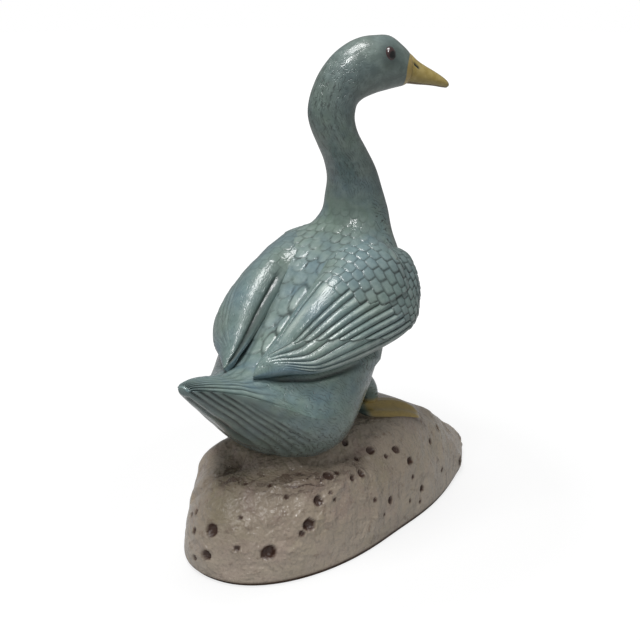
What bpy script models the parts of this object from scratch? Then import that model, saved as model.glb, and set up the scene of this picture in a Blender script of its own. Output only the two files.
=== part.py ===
"""Chalkware goose on a rock, cast in one piece.

The goose faces -Y, its left side is towards +X, and the rock's flat underside lies at z = 0. Every size
below is in millimetres. Places are given as (right, forward, rise): to the goose's right, ahead of the
goose's middle, and above the crown of the rock that it stands on. The shells that make up the casting are
laid over one another, carved, and fused into a single closed skin by the Remesh modifier.
"""

import math

import bmesh
import bpy
import numpy as np

MM = 0.001
NAME = "goose_figurine"

# Rock base
ROCK_LENGTH = 269.0
ROCK_WIDTH = 131.0
ROCK_HEIGHT = 66.0
ROCK_FRONT_DROP = 44.0          # fall of the top from the crown to the front end
ROCK_SADDLE = 0.8               # shallow dip of the top behind the legs
ROCK_TURN = 3.0                 # degrees from the goose's long axis to the rock's
ROCK_FORWARD = -2.0             # the rock's middle, forward of the goose's
ROCK_OUTLINE_POWER = 2.15      # 2 is an ellipse, more is squarer
ROCK_WAIST = 0.035              # share by which the right side is drawn in
ROCK_WAIST_BEARING = 112.0      # degrees
ROCK_WAIST_SPREAD = 26.0
ROCK_CROWN_POWER = 4.2          # more keeps the top flat further out
ROCK_WALL_POWER = 0.55          # less makes the sides steeper
ROCK_FOOT_RISE = 2.5            # height of the undercut round the foot
ROCK_FOOT_INSET = 1.2
ROCK_LUMP = 1.3                 # height of the hand-modelled unevenness

# Pits
PIT_DEPTH_SHARE = 0.45          # depth of a pit over its diameter
HIDDEN_PITS = 26
HIDDEN_PIT_DIAMETERS = (8.0, 5.0, 6.5)

# Goose
HEAD_TURN = 37.0                # degrees that the head looks to the goose's right
NECK_AXIS_FORWARD = -4.4        # the upright axis that the neck twists about
EYE_RADIUS = 4.6
EYE_PLACE = (10.0, 26.0, 224.0)
LEG_SPREAD = 44.0
SHANK_RADIUS = 5.6
FOOT_LENGTH = 46.0
FOOT_WIDTH = 27.0               # over the toes
FOOT_HEEL_HEIGHT = 9.0          # above the rock, falling to the toes
FOOT_TOE_HEIGHT = 6.0
TOE_OUT = 27.0                  # degrees
TOES = 3
WING_SINK = 0.6                 # share of the wing's bulge that is sunk into the body

# Carving
MANTLE_RISE = 0.9               # of a back scale's free end over its root
VANE_RISE = 0.8                 # of a long feather's ridge over the gap beside it
TIER_STEP = 0.7                 # from the coverts down to the secondaries, and on to the primaries
TAIL_RISE = 0.7
MANTLE_PITCH = (6.2, 10.5)      # size of the back's scales by the neck and between the wings
MANTLE_GROWTH_SPAN = (5.0, 75.0)
MANTLE_SCALE = (1.5, 0.7, 2.2)  # reach and rounding in rows, and power: 2 is round, more is squarer
COVERT_PITCH = (6.0, 9.0)       # size of the wing's scales at the shoulder and further back
COVERT_GROWTH_LENGTH = 80.0
COVERT_GROWTH_BREADTH = (0.15, 0.60)
COVERT_RISE = 0.55              # of a wing scale's free end over its root
COVERT_SCALE = (1.42, 0.50, 3.0)
TAIL_FAN_STEP = 6.0             # degrees between grooves on top of the tail
TAIL_FAN_BEHIND = 6.0           # how far behind the tail's tip those grooves meet
TAIL_KEEL_STEP = 3.6            # between grooves on the tail's underside

# Fused skin
VOXEL = 1.1
TARGET_TRIANGLES = 11800

# Body, neck and head, from the tail's tip to the face: the back's (forward, rise), the belly's
# (forward, rise), half width, level of the widest place from belly to back, the share by which the
# upper half is wider than the lower one, and how far the widest place is an edge under an arch
BODY_SECTIONS = (
    (-149.5, 57.5, -149.0, 55.5, 1.5, 0.70, 0.00, 0.9),
    (-144.0, 58.5, -143.0, 49.0, 5.0, 0.76, 0.00, 0.9),
    (-134.0, 58.0, -131.0, 37.0, 11.5, 0.80, 0.00, 0.9),
    (-119.0, 55.0, -113.0, 21.0, 22.0, 0.80, 0.00, 0.9),
    (-103.0, 51.0, -93.0, 3.0, 32.5, 0.74, -0.05, 0.75),
    (-86.0, 55.0, -72.0, -10.5, 43.5, 0.58, -0.12, 0.4),
    (-68.0, 68.0, -49.0, -15.5, 50.5, 0.52, 0.00, 0.1),
    (-51.0, 83.0, -26.0, -13.0, 49.5, 0.53, 0.20, 0.0),
    (-37.0, 96.0, -8.0, -3.0, 47.0, 0.55, 0.30, 0.0),
    (-24.0, 106.0, 9.0, 13.0, 44.0, 0.56, 0.36, 0.0),
    (-13.0, 113.0, 26.0, 32.0, 43.0, 0.57, 0.32, 0.0),
    (-5.0, 118.0, 38.0, 58.0, 41.0, 0.55, 0.28, 0.0),
    (0.0, 123.0, 43.0, 84.0, 32.0, 0.52, 0.03, 0.0),
    (2.0, 130.0, 42.5, 107.0, 23.5, 0.50, 0.00, 0.0),
    (1.5, 139.0, 40.0, 125.0, 20.3, 0.50, 0.00, 0.0),
    (-0.5, 149.0, 33.5, 141.0, 17.3, 0.50, 0.00, 0.0),
    (-5.5, 160.0, 26.0, 155.0, 16.1, 0.50, 0.00, 0.0),
    (-12.0, 170.0, 18.0, 167.0, 15.0, 0.50, 0.00, 0.0),
    (-17.5, 180.0, 11.5, 177.5, 14.0, 0.50, 0.00, 0.0),
    (-19.8, 189.0, 9.0, 186.0, 13.7, 0.50, 0.00, 0.0),
    (-19.0, 198.0, 9.5, 192.5, 13.6, 0.50, 0.00, 0.0),
    (-16.3, 207.0, 11.0, 196.0, 13.6, 0.50, 0.00, 0.0),
    (-12.0, 216.0, 14.5, 198.6, 13.8, 0.50, 0.00, 0.0),
    (-4.5, 225.3, 19.0, 200.3, 14.2, 0.50, 0.00, 0.0),
    (4.5, 232.3, 23.5, 201.7, 14.5, 0.50, 0.00, 0.0),
    (13.5, 236.0, 28.0, 202.7, 14.5, 0.50, 0.00, 0.0),
    (22.5, 236.8, 32.5, 203.7, 14.2, 0.50, 0.00, 0.0),
    (31.0, 235.0, 36.5, 204.5, 13.2, 0.48, 0.00, 0.0),
    (38.5, 230.2, 40.0, 205.3, 11.2, 0.46, 0.00, 0.0),
    (44.0, 224.2, 42.0, 207.0, 8.8, 0.44, 0.00, 0.0),
    (44.5, 218.0, 43.5, 210.5, 4.0, 0.44, 0.00, 0.0),
)
MANTLE_START = 13.5             # section where the first row of the back's scales lies
MANTLE_FADE = (4.0, 5.0, 12.3, 13.2)  # sections where those scales fade in and out
TAIL_FADE = (0.4, 0.9, 4.2, 5.2)
UPPER_SIDE = (-0.15, 0.35)      # cosine of the angle from the back over which it turns into the flank
TWIST_SPAN = (13.0, 21.5)       # sections over which the neck twists

# Bill: the culmen's (forward, rise), the lower edge's (forward, rise), half width and level
BILL_SECTIONS = (
    (40.0, 227.0, 38.0, 206.5, 8.3, 0.45, 0.0, 0.0),
    (44.5, 224.5, 43.0, 206.2, 8.2, 0.42, 0.0, 0.0),
    (49.5, 219.8, 49.0, 206.0, 7.6, 0.40, 0.0, 0.0),
    (55.0, 216.0, 55.0, 205.6, 7.0, 0.40, 0.0, 0.0),
    (60.5, 212.4, 60.5, 204.8, 6.3, 0.42, 0.0, 0.0),
    (65.5, 209.0, 65.5, 203.8, 5.3, 0.45, 0.0, 0.0),
    (68.6, 206.4, 68.4, 203.2, 3.6, 0.50, 0.0, 0.0),
    (70.0, 204.6, 69.8, 203.8, 1.0, 0.50, 0.0, 0.0),
)

# Folded wing, from the shoulder to the tip: the upper edge's (right, forward, rise), the lower edge's
# (right, forward, rise), and how far the wing bulges out between them
WING_SECTIONS = (
    (27.0, 34.0, 95.0, 31.0, 33.0, 83.0, 2.0),
    (26.0, 21.0, 105.0, 45.0, 23.0, 75.0, 9.0),
    (17.5, 4.0, 109.0, 53.0, 9.0, 65.0, 14.0),
    (13.5, -15.0, 106.0, 56.0, -10.0, 61.0, 16.2),
    (12.0, -36.0, 96.5, 55.0, -36.0, 59.0, 16.8),
    (11.0, -57.0, 81.5, 50.0, -57.0, 56.5, 14.5),
    (9.5, -77.0, 66.5, 39.0, -74.0, 53.0, 9.5),
    (8.5, -91.0, 56.0, 25.0, -87.0, 51.0, 4.5),
    (10.0, -101.0, 51.0, 13.0, -101.0, 50.0, 1.0),
)

# Right wing's carving, by breadth from the upper edge to the lower one: share of the wing's length where
# the scales end, where the secondaries end, and the gaps between the long feathers
COVERTS_END = ((0.0, 0.60), (0.42, 0.57), (0.51, 0.51), (0.62, 0.43), (0.76, 0.37), (1.0, 0.30))
SECONDARIES_END = ((0.0, 0.98), (0.25, 0.86), (0.42, 0.73), (0.56, 0.66), (0.71, 0.58), (0.84, 0.47),
                   (1.0, 0.40))
SECONDARY_GAPS = (0.20, 0.42, 0.475, 0.53, 0.585, 0.64, 0.695, 0.755, 0.82, 0.89, 0.96)
PRIMARY_GAPS = (0.22, 0.36, 0.51, 0.61, 0.71, 0.81, 0.91)
PRIMARIES_CLOSE = (0.45, 0.72, 0.95)  # share by which the primaries draw together, and where
WING_EDGE_FADE = 0.18           # rise over the wing's plane, as a sine, below which nothing is carved
WING_TIP_FADE = 0.93            # share of the length beyond which the carving fades

# Fillet between the wings' front halves and the back: its reach, and the places forward of the goose's
# middle where it starts, is full, starts to fade and ends
SHOULDER_FILLET = 16.0
SHOULDER_FILLET_SPAN = (-52.0, -18.0, -6.0, 16.0)
SHOULDER_FILLET_SECTIONS = (7.0, 12.8)
SHOULDER_FILLET_BREADTH = 0.6   # share of the wing's breadth that it may reach

# Shank of the right leg: (right of the shank, forward, rise, radius over the shank's radius)
SHANK_PATH = (
    (-6.0, -22.0, 40.0, 2.4),
    (-4.0, -10.0, 28.0, 2.1),
    (-1.0, 0.0, 18.0, 1.5),
    (0.0, 6.0, 9.0, 1.05),
    (-1.0, 7.5, 3.0, 1.0),
    (-1.0, 7.0, -4.0, 1.15),
)

# Forms modelled on the rock: (half width, height, points of its line), each point by bearing in degrees
# from straight ahead round by the right and by share of the way from the crown to the foot
ROCK_FORMS = (
    (8.5, -4.6, ((197, 0.48), (188, 0.475), (178, 0.475), (168, 0.46), (156, 0.455), (143, 0.46),
                 (130, 0.50))),
    (6.0, 1.4, ((190, 0.60), (182, 0.60), (172, 0.575), (160, 0.56), (147, 0.58), (134, 0.64))),
    (12.0, 5.0, ((203, 0.53), (208, 0.62))),
    (2.8, -3.0, ((190, 0.43), (189, 0.53), (193, 0.66), (199, 0.76))),
    (4.0, 1.6, ((126, 0.66), (127, 0.86))),
    (8.0, 2.2, ((32, 0.47), (22, 0.57))),
    (7.0, 1.8, ((37, 0.80), (36, 0.90))),
    (10.0, -1.8, ((112, 0.60), (104, 0.80))),
    (9.0, 1.8, ((78, 0.70), (70, 0.84))),
    (13.0, 3.0, ((238, 0.62), (246, 0.74))),
    (11.0, -2.4, ((268, 0.58), (274, 0.80))),
    (12.0, 2.6, ((300, 0.66), (312, 0.72))),
    (9.0, -2.0, ((338, 0.62), (346, 0.80))),
)

# Pits that the photograph shows: (bearing in degrees from straight ahead round by the right, share of
# the way from the crown to the foot of the rock, diameter)
SEEN_PITS = (
    (166, 0.85, 9.0), (182, 0.89, 6.0), (182, 0.78, 7.5), (188, 0.82, 4.0), (191, 0.76, 4.0),
    (156, 0.76, 7.5), (154, 0.66, 6.0), (151, 0.55, 6.5), (147, 0.55, 4.0), (140, 0.61, 4.5),
    (134, 0.61, 5.5), (121, 0.51, 5.5), (100, 0.59, 5.5), (92, 0.69, 5.0), (60, 0.67, 4.5),
    (44, 0.61, 4.5), (84, 0.87, 4.5), (116, 0.82, 4.5), (140, 0.37, 4.5), (37, 0.90, 6.0),
)


def smooth_step(low, high, value):
    """Rise from 0 to 1 as value goes from low to high."""
    share = np.clip((value - low) / (high - low), 0.0, 1.0)
    return share * share * (3.0 - 2.0 * share)


def through(rows, stations):
    """Read a Catmull-Rom curve through rows at the given stations, counted in rows."""
    rows = np.asarray(rows, float)
    ends = np.vstack([2 * rows[0] - rows[1], rows, 2 * rows[-1] - rows[-2]])
    start = np.clip(stations.astype(int), 0, len(rows) - 2)
    share = (stations - start)[:, None]
    before, here, after, beyond = (ends[start + step] for step in range(4))
    return 0.5 * (
        2 * here
        + (after - before) * share
        + (2 * before - 5 * here + 4 * after - beyond) * share**2
        + (3 * here - before - 3 * after + beyond) * share**3
    )


def place(right, forward, rise):
    """Turn a place on the goose into x, y and z, with z above the underside."""
    return np.stack(np.broadcast_arrays(-right, -forward, rise + ROCK_HEIGHT), axis=-1)


def outward_normals(grid, centre):
    """Unit normals of a grid of points, pointing away from centre."""
    along = np.gradient(grid, axis=0)
    around = np.gradient(grid, axis=1)
    normals = np.cross(along, around)
    normals /= np.linalg.norm(normals, axis=2, keepdims=True) + 1e-9
    facing = np.sign(np.sum(normals * (grid - centre), axis=2, keepdims=True))
    return normals * facing


def path_length(line):
    """Distance along a line of points, from its first one."""
    return np.concatenate([[0.0], np.cumsum(np.linalg.norm(np.diff(line, axis=0), axis=1))])


def scale_height(rows, across, shape, last_row=None):
    """Height, 0 to 1, of overlapping scales whose rounded ends point along growing rows, and where they are.

    Earlier rows lie over later ones. The outline of each scale is a superellipse with straight sides.
    """
    reach, rounding, power = shape
    first = np.floor(rows)
    height = np.zeros(rows.shape)
    covered = np.zeros(rows.shape, bool)
    for step in (1, 0, -1, -2):
        row = first + step
        aside = np.mod(across + 0.5 * np.mod(row, 2.0), 1.0) - 0.5
        ahead = rows - row
        tip = np.clip((ahead - reach + rounding) / rounding, 0.0, None)
        flank = np.abs(2.0 * aside)
        inside = (flank**power + tip**power < 1.0) & (ahead > -0.6)
        if last_row is not None:
            inside &= row <= last_row(across - aside)
        height = np.where(inside, np.clip(ahead / reach, 0.0, 1.0) * (1.0 - 0.35 * flank**2), height)
        covered |= inside
    return height, covered


def vane_height(share):
    """Height, 0 to 1, of a long feather by share of the way across it, higher towards its far edge."""
    return np.clip(1.0 - np.abs(2.0 * share - 1.0) ** 3, 0.0, 1.0) * (0.6 + 0.4 * share)


def vanes_between(gaps, breadth):
    """Height, 0 to 1, of long feathers that lie side by side between gaps."""
    edges = np.array((-0.02, *gaps, 1.02))
    index = np.clip(np.searchsorted(edges, breadth) - 1, 0, len(edges) - 2)
    return vane_height(np.clip((breadth - edges[index]) / (edges[index + 1] - edges[index]), 0.0, 1.0))


def fillet_lift(points, other, normals, reachable):
    """Lift, (reach - away)^2 / (4 * reach), that rounds the valley between points and another surface."""
    reach = SHOULDER_FILLET * faded(SHOULDER_FILLET_SPAN, -points[..., 1]) * reachable
    wanted = reach > SHOULDER_FILLET / 10.0
    samples, facing = other.reshape(-1, 3), normals.reshape(-1, 3)
    chosen = points[wanted]
    batches = np.array_split(chosen, 1 + len(chosen) // 1000)
    length = np.sum(samples**2, axis=1)
    nearest = np.concatenate([np.argmin(length - 2.0 * batch @ samples.T, axis=1) for batch in batches])
    away = np.abs(np.sum((chosen - samples[nearest]) * facing[nearest], axis=1))
    lift = np.zeros(reach.shape)
    lift[wanted] = np.clip(reach[wanted] - away, 0.0, None) ** 2 / (4.0 * reach[wanted])
    return lift


def section_loft(sections, stations, around):
    """Rings of points through body-like sections, with angle 0 at the back."""
    rows = through(sections, stations)
    back, belly = rows[:, 0:2], rows[:, 2:4]
    half_width, level, egg = rows[:, 4:5], rows[:, 5:6], rows[:, 6:7]
    centre = belly + (back - belly) * level
    up = np.cos(around)[None, :]
    side = np.sin(around)[None, :]
    arch = np.clip(up, 0.0, None) ** (1.0 + rows[:, 7:8])
    above = (back - centre)[:, None, :] * arch[..., None]
    below = (belly - centre)[:, None, :] * np.clip(-up, 0.0, None)[..., None]
    profile = centre[:, None, :] + above + below
    right = half_width * side * (1.0 + egg * up)
    return place(right, profile[..., 0], profile[..., 1])


def twist(grid, share):
    """Turn each ring about the neck's upright axis by its share of the head's turn."""
    angle = math.radians(HEAD_TURN) * share[:, None]
    x = grid[..., 0]
    y = grid[..., 1] + NECK_AXIS_FORWARD
    turned = grid.copy()
    turned[..., 0] = x * np.cos(angle) + y * np.sin(angle)
    turned[..., 1] = y * np.cos(angle) - x * np.sin(angle) - NECK_AXIS_FORWARD
    return turned


def back_path(stations):
    """Distance along the back from the tail's tip to each station."""
    fine = np.linspace(0.0, len(BODY_SECTIONS) - 1.0, 1200)
    line = section_loft(BODY_SECTIONS, fine, np.zeros(1))[:, 0]
    return np.interp(stations, fine, path_length(line))


def faded(fade, station):
    """1 between the two middle sections of fade, falling to 0 at its outer ones."""
    return smooth_step(fade[0], fade[1], station) * (1.0 - smooth_step(fade[2], fade[3], station))


def mantle_height(path, arc):
    """Height of the back's scales, whose rows are counted as the integral of path over pitch."""
    start = back_path(np.array([MANTLE_START]))[0]
    down = np.linspace(0.0, start, 400)
    pitch = MANTLE_PITCH[0] + (MANTLE_PITCH[1] - MANTLE_PITCH[0]) * smooth_step(*MANTLE_GROWTH_SPAN, down)
    rows = np.concatenate([[0.0], np.cumsum(np.diff(down) / pitch[1:])])
    below = start - path
    across = arc / np.interp(below, down, pitch)
    return scale_height(np.interp(below, down, rows) + 2.0, across, MANTLE_SCALE)[0]


def tail_height(right, forward, height, upper):
    """Height of the feathers that fan out on top of the tail and of those parallel to the keel below."""
    bearing = np.degrees(np.arctan2(right, forward - BODY_SECTIONS[0][0] + TAIL_FAN_BEHIND))
    fan = vane_height(np.mod(bearing / TAIL_FAN_STEP, 1.0))
    tip, root = np.array(BODY_SECTIONS[0][2:4]), np.array(BODY_SECTIONS[4][2:4])
    keel = (root - tip) / np.linalg.norm(root - tip)
    from_keel = (forward - tip[0]) * -keel[1] + (height - ROCK_HEIGHT - tip[1]) * keel[0]
    under = vane_height(np.mod(from_keel / TAIL_KEEL_STEP, 1.0))
    return fan * upper + under * (1.0 - upper)


def body_shell():
    """Tail, trunk, neck and head as one loft, with scales on the back and grooves on the tail."""
    stations = np.linspace(0.0, len(BODY_SECTIONS) - 1.0, 320)
    around = np.linspace(0.0, 2.0 * math.pi, 200)
    grid = section_loft(BODY_SECTIONS, stations, around)
    steps = np.linalg.norm(np.diff(grid, axis=1), axis=2)
    arc = np.concatenate([np.zeros((len(grid), 1)), np.cumsum(steps, axis=1)], axis=1)
    arc = np.where(around > math.pi, arc - arc[:, -1:], arc)
    station = np.broadcast_to(stations[:, None], arc.shape)
    path = np.broadcast_to(back_path(stations)[:, None], arc.shape)
    upper = smooth_step(*UPPER_SIDE, np.cos(around))[None, :]
    carved = (mantle_height(path, arc) - 0.5) * MANTLE_RISE * faded(MANTLE_FADE, station) * upper
    tail = tail_height(-grid[..., 0], -grid[..., 1], grid[..., 2], upper)
    carved = carved + (tail - 0.5) * TAIL_RISE * faded(TAIL_FADE, station)
    low, high = SHOULDER_FILLET_SECTIONS
    wing, facing = smooth_wing(np.linspace(0.0, len(WING_SECTIONS) - 1.0, 70), np.linspace(0.02, 3.12, 50))
    for side in (1.0, -1.0):
        mirror = np.array([side, 1.0, 1.0])
        reachable = (station > low) & (station < high) & (-grid[..., 0] * side > 0.0) & (np.cos(around) > 0.0)
        carved = carved + fillet_lift(grid, wing * mirror, facing * mirror, reachable)
    centre = grid.mean(axis=1, keepdims=True)
    grid = grid + outward_normals(grid, centre) * carved[..., None]
    return twist(grid, smooth_step(*TWIST_SPAN, stations))


def bill_shell():
    """Short tapering bill, on the turned head."""
    stations = np.linspace(0.0, len(BILL_SECTIONS) - 1.0, 50)
    around = np.linspace(0.0, 2.0 * math.pi, 48)
    grid = section_loft(BILL_SECTIONS, stations, around)
    return twist(grid, np.ones(len(stations)))


def smooth_wing(stations, around):
    """Right wing before it is carved, a pillow between its two edges, and its outward directions."""
    rows = through(WING_SECTIONS, stations)
    upper, lower = place(*rows[:, 0:3].T), place(*rows[:, 3:6].T)
    middle, half_chord = (upper + lower) / 2.0, (lower - upper) / 2.0
    out = np.cross(half_chord, np.gradient(middle, axis=0))
    out /= np.linalg.norm(out, axis=1, keepdims=True)
    out *= np.sign(-out[:, :1])

    across = -np.sign(np.cos(around)) * np.abs(np.cos(around)) ** 0.9
    share = (stations / (len(WING_SECTIONS) - 1.0))[:, None]
    soft = 0.75 * (1.0 - smooth_step(0.25, 0.5, share)) * (1.0 - smooth_step(-1.0, 0.2, across))
    up = np.abs(np.sin(around))[None, :]
    rise = np.where(np.sin(around) > 0.0, up ** (0.8 + soft), -WING_SINK * up)
    bulge = rows[:, 6:7] * rise * (1.0 - 0.25 * across)
    grid = middle[:, None, :] + half_chord[:, None, :] * across[None, :, None]
    grid = grid + out[:, None, :] * bulge[..., None]
    return grid, outward_normals(grid, middle[:, None, :])


def wing_shell(side):
    """Folded wing: coverts as scales, then two tiers of long feathers. Side is 1 on the right."""
    last = len(WING_SECTIONS) - 1.0
    stations = np.linspace(0.0, last, 180)
    around = np.linspace(0.0, 2.0 * math.pi, 200)
    grid, normals = smooth_wing(stations, around)
    along, breadth = np.broadcast_arrays((stations / last)[:, None], (around / math.pi)[None, :])
    path = path_length(grid[:, len(around) // 4])
    chord = np.linalg.norm(grid[:, len(around) // 2] - grid[:, 0], axis=1).max()
    carved = wing_relief(along, breadth, np.broadcast_to(path[:, None], along.shape), chord)
    outer = smooth_step(0.0, WING_EDGE_FADE, np.sin(around))[None, :]
    outer = outer * (1.0 - smooth_step(WING_TIP_FADE, 1.0, along))
    body = section_loft(BODY_SECTIONS, np.linspace(5.0, 14.0, 90), np.linspace(0.0, 0.6 * math.pi, 60))
    inside = body.mean(axis=1, keepdims=True) - np.array([0.0, 0.0, BODY_SECTIONS[9][4]])
    fillet = fillet_lift(grid, body, outward_normals(body, inside), breadth < SHOULDER_FILLET_BREADTH)
    carved = carved * outer + fillet
    grid = grid + normals * carved[..., None]
    return grid * np.array([side, 1.0, 1.0])


def covert_rows(path):
    """Rows of the wing's scales, counted along it with a pitch that grows by the path."""
    low, high = COVERT_PITCH
    growth = (high - low) / COVERT_GROWTH_LENGTH
    return np.log(1.0 + growth * np.clip(path, 0.0, None) / low) / growth + 2.0


def wing_relief(along, breadth, path, chord):
    """Carved height over the smooth wing: scales, then secondaries, then primaries a step lower."""
    shares = np.linspace(0.0, 1.0, 200)
    growth = smooth_step(*COVERT_GROWTH_BREADTH, shares)
    pitch = COVERT_PITCH[1] + (COVERT_PITCH[0] - COVERT_PITCH[1]) * growth
    counts = np.concatenate([[0.0], np.cumsum(np.diff(shares) * chord / pitch[1:])])
    length = path.max()

    def last_row(across):
        """Last row of scales at a position across the wing."""
        end = np.interp(np.interp(across, counts, shares), *np.array(COVERTS_END).T)
        return covert_rows(end * length) - COVERT_SCALE[0]

    across = np.interp(breadth, shares, counts)
    scales, covered = scale_height(covert_rows(path), across, COVERT_SCALE, last_row)
    closing = 1.0 - PRIMARIES_CLOSE[0] * smooth_step(*PRIMARIES_CLOSE[1:], along)
    primaries = vanes_between(PRIMARY_GAPS, breadth / closing) * VANE_RISE - TIER_STEP
    secondaries = vanes_between(SECONDARY_GAPS, breadth) * VANE_RISE
    tier = np.interp(breadth, *np.array(SECONDARIES_END).T)
    long_feathers = np.where(along > tier, primaries, secondaries)
    return np.where(covered, TIER_STEP + scales * COVERT_RISE, long_feathers) - TIER_STEP


def rock_top(forward):
    """Level of the rock's top, before its sides round over."""
    fall = ROCK_FRONT_DROP * smooth_step(15.0, ROCK_LENGTH / 2.0, forward)
    return ROCK_HEIGHT - fall - ROCK_SADDLE * np.exp(-(((forward + 30.0) / 40.0) ** 2))


def rock_reach(bearing):
    """Distance from the rock's middle to its outline, by bearing from straight ahead."""
    length_part = np.abs(np.cos(bearing)) / (ROCK_LENGTH / 2.0)
    width_part = np.abs(np.sin(bearing)) / (ROCK_WIDTH / 2.0)
    oval = (length_part**ROCK_OUTLINE_POWER + width_part**ROCK_OUTLINE_POWER) ** (-1.0 / ROCK_OUTLINE_POWER)
    beside = (np.degrees(bearing) - ROCK_WAIST_BEARING) / ROCK_WAIST_SPREAD
    return oval * (1.0 - ROCK_WAIST * np.exp(-(beside**2)))


def rock_point(bearing, share):
    """Point on the rock's skin, by bearing and by share of the way from the crown to the foot."""
    reach = np.sin(share * math.pi / 2.0) ** 0.9
    right = reach * rock_reach(bearing) * np.sin(bearing)
    forward = reach * rock_reach(bearing) * np.cos(bearing)
    turn = math.radians(ROCK_TURN)
    forward, right = (
        forward * math.cos(turn) + right * math.sin(turn) + ROCK_FORWARD,
        right * math.cos(turn) - forward * math.sin(turn),
    )
    fullness = np.clip(1.0 - reach**ROCK_CROWN_POWER, 0.0, 1.0) ** ROCK_WALL_POWER
    level = ROCK_FOOT_RISE + fullness * (rock_top(forward) - ROCK_FOOT_RISE)
    return np.stack(np.broadcast_arrays(-right, -forward, level), axis=-1)


def rock_level_at(right, forward):
    """Level of the rock's skin at a place seen from above."""
    turn = math.radians(ROCK_TURN)
    ahead = forward - ROCK_FORWARD
    own_forward = ahead * math.cos(turn) - right * math.sin(turn)
    own_right = right * math.cos(turn) + ahead * math.sin(turn)
    reach = np.hypot(own_forward, own_right) / rock_reach(np.arctan2(own_right, own_forward))
    fullness = np.clip(1.0 - reach**ROCK_CROWN_POWER, 0.0, 1.0) ** ROCK_WALL_POWER
    return ROCK_FOOT_RISE + fullness * (rock_top(forward) - ROCK_FOOT_RISE)


def line_distance(points, line):
    """Distance from each point to a line of straight pieces."""
    nearest = np.full(points.shape[:-1], np.inf)
    for start, end in zip(line[:-1], line[1:]):
        piece = end - start
        share = np.clip((points - start) @ piece / (piece @ piece), 0.0, 1.0)
        nearest = np.minimum(nearest, np.linalg.norm(points - start - share[..., None] * piece, axis=-1))
    return nearest


def rock_forms(points):
    """Height of the modelled forms over the smooth rock: each is height * exp(-(away / half width)^2)."""
    height = np.zeros(points.shape[:-1])
    for half_width, form_height, line in ROCK_FORMS:
        bearings, shares = np.array(line, float).T
        away = line_distance(points, rock_point(np.radians(bearings), shares)) / half_width
        height = height + form_height * np.exp(-(away**2))
    return height


def hidden_pits():
    """Pits on the sides that the photograph hides, spread by the golden angle."""
    golden = 180.0 * (3.0 - math.sqrt(5.0))
    for index in range(HIDDEN_PITS):
        bearing = 205.0 + (index * golden) % 185.0
        share = 0.42 + 0.50 * ((index * 0.618) % 1.0)
        yield bearing, share, HIDDEN_PIT_DIAMETERS[index % len(HIDDEN_PIT_DIAMETERS)]


def rock_shell():
    """Pitted rock mound, running a little below the underside that is cut off flat later."""
    share = np.linspace(0.0, 1.0, 110)[:, None]
    bearing = np.linspace(0.0, 2.0 * math.pi, 440)[None, :]
    grid = rock_point(bearing, share)
    x, y, z = grid[..., 0], grid[..., 1], grid[..., 2]
    lumps = np.sin(x / 13.0 + 1.0) * np.sin(y / 17.0) + 0.7 * np.sin(y / 11.0 + x / 23.0) * np.cos(z / 12.0)
    lumps = lumps * smooth_step(0.25, 0.5, share) * (1.0 - smooth_step(0.9, 1.0, share))
    depth = np.zeros_like(x)
    for pit_bearing, pit_share, diameter in list(SEEN_PITS) + list(hidden_pits()):
        centre = rock_point(np.array(math.radians(pit_bearing)), np.array(pit_share))
        away = np.linalg.norm(grid - centre, axis=2) / (diameter / 2.0)
        bowl = np.clip(1.0 - away**4, 0.0, 1.0) * diameter * PIT_DEPTH_SHARE
        depth = np.maximum(depth, bowl)
    inside = np.array([0.0, -ROCK_FORWARD, ROCK_FOOT_RISE])
    normals = outward_normals(grid, inside)
    grid = grid + normals * (lumps * ROCK_LUMP + rock_forms(grid) - depth)[..., None]

    edge = grid[-1:, :, :]
    middle = np.array([0.0, -ROCK_FORWARD, 0.0])
    inset = 1.0 - ROCK_FOOT_INSET / (ROCK_WIDTH / 2.0)
    foot_rings = [
        (edge - middle) * np.array([inset, inset, 0.0]) + middle + np.array([0.0, 0.0, level])
        for level in (0.0, -2.0 * ROCK_FOOT_RISE)
    ]
    return np.concatenate([grid] + foot_rings, axis=0)


def shank_shell(side):
    """Short leg between the thigh's feathers and the foot."""
    stations = np.linspace(0.0, len(SHANK_PATH) - 1.0, 30)
    rows = through(SHANK_PATH, stations)
    around = np.linspace(0.0, 2.0 * math.pi, 40)[None, :]
    radius = SHANK_RADIUS * rows[:, 3:4]
    right = LEG_SPREAD / 2.0 + rows[:, 0:1] + radius * np.cos(around)
    forward = rows[:, 1:2] + radius * np.sin(around)
    return place(right, forward, rows[:, 2:3]) * np.array([side, 1.0, 1.0])


def foot_shell(side):
    """Webbed foot that lies on the rock, with its toes as ridges."""
    along = np.linspace(0.0, 1.0, 60)[:, None]
    around = np.linspace(0.0, 2.0 * math.pi, 60)[None, :]
    ends = np.sqrt(np.clip(1.0 - np.abs(2.0 * along - 1.0) ** 8, 0.01, 1.0))
    half_width = (SHANK_RADIUS + (FOOT_WIDTH / 2.0 - SHANK_RADIUS) * along**1.2) * ends
    ahead = FOOT_LENGTH * (along - 0.1)
    offset = half_width * np.cos(around)
    toe_out = math.radians(TOE_OUT)
    right = LEG_SPREAD / 2.0 + ahead * math.sin(toe_out) + offset * math.cos(toe_out)
    forward = ahead * math.cos(toe_out) - offset * math.sin(toe_out)
    height = (FOOT_HEEL_HEIGHT + (FOOT_TOE_HEIGHT - FOOT_HEEL_HEIGHT) * along) * ends
    toes = 0.80 + 0.20 * np.cos(math.pi * (TOES - 1.0) * np.cos(around))
    level = rock_level_at(right, forward) + height * np.sin(around) * toes
    return place(right, forward, level - ROCK_HEIGHT) * np.array([side, 1.0, 1.0])


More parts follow.
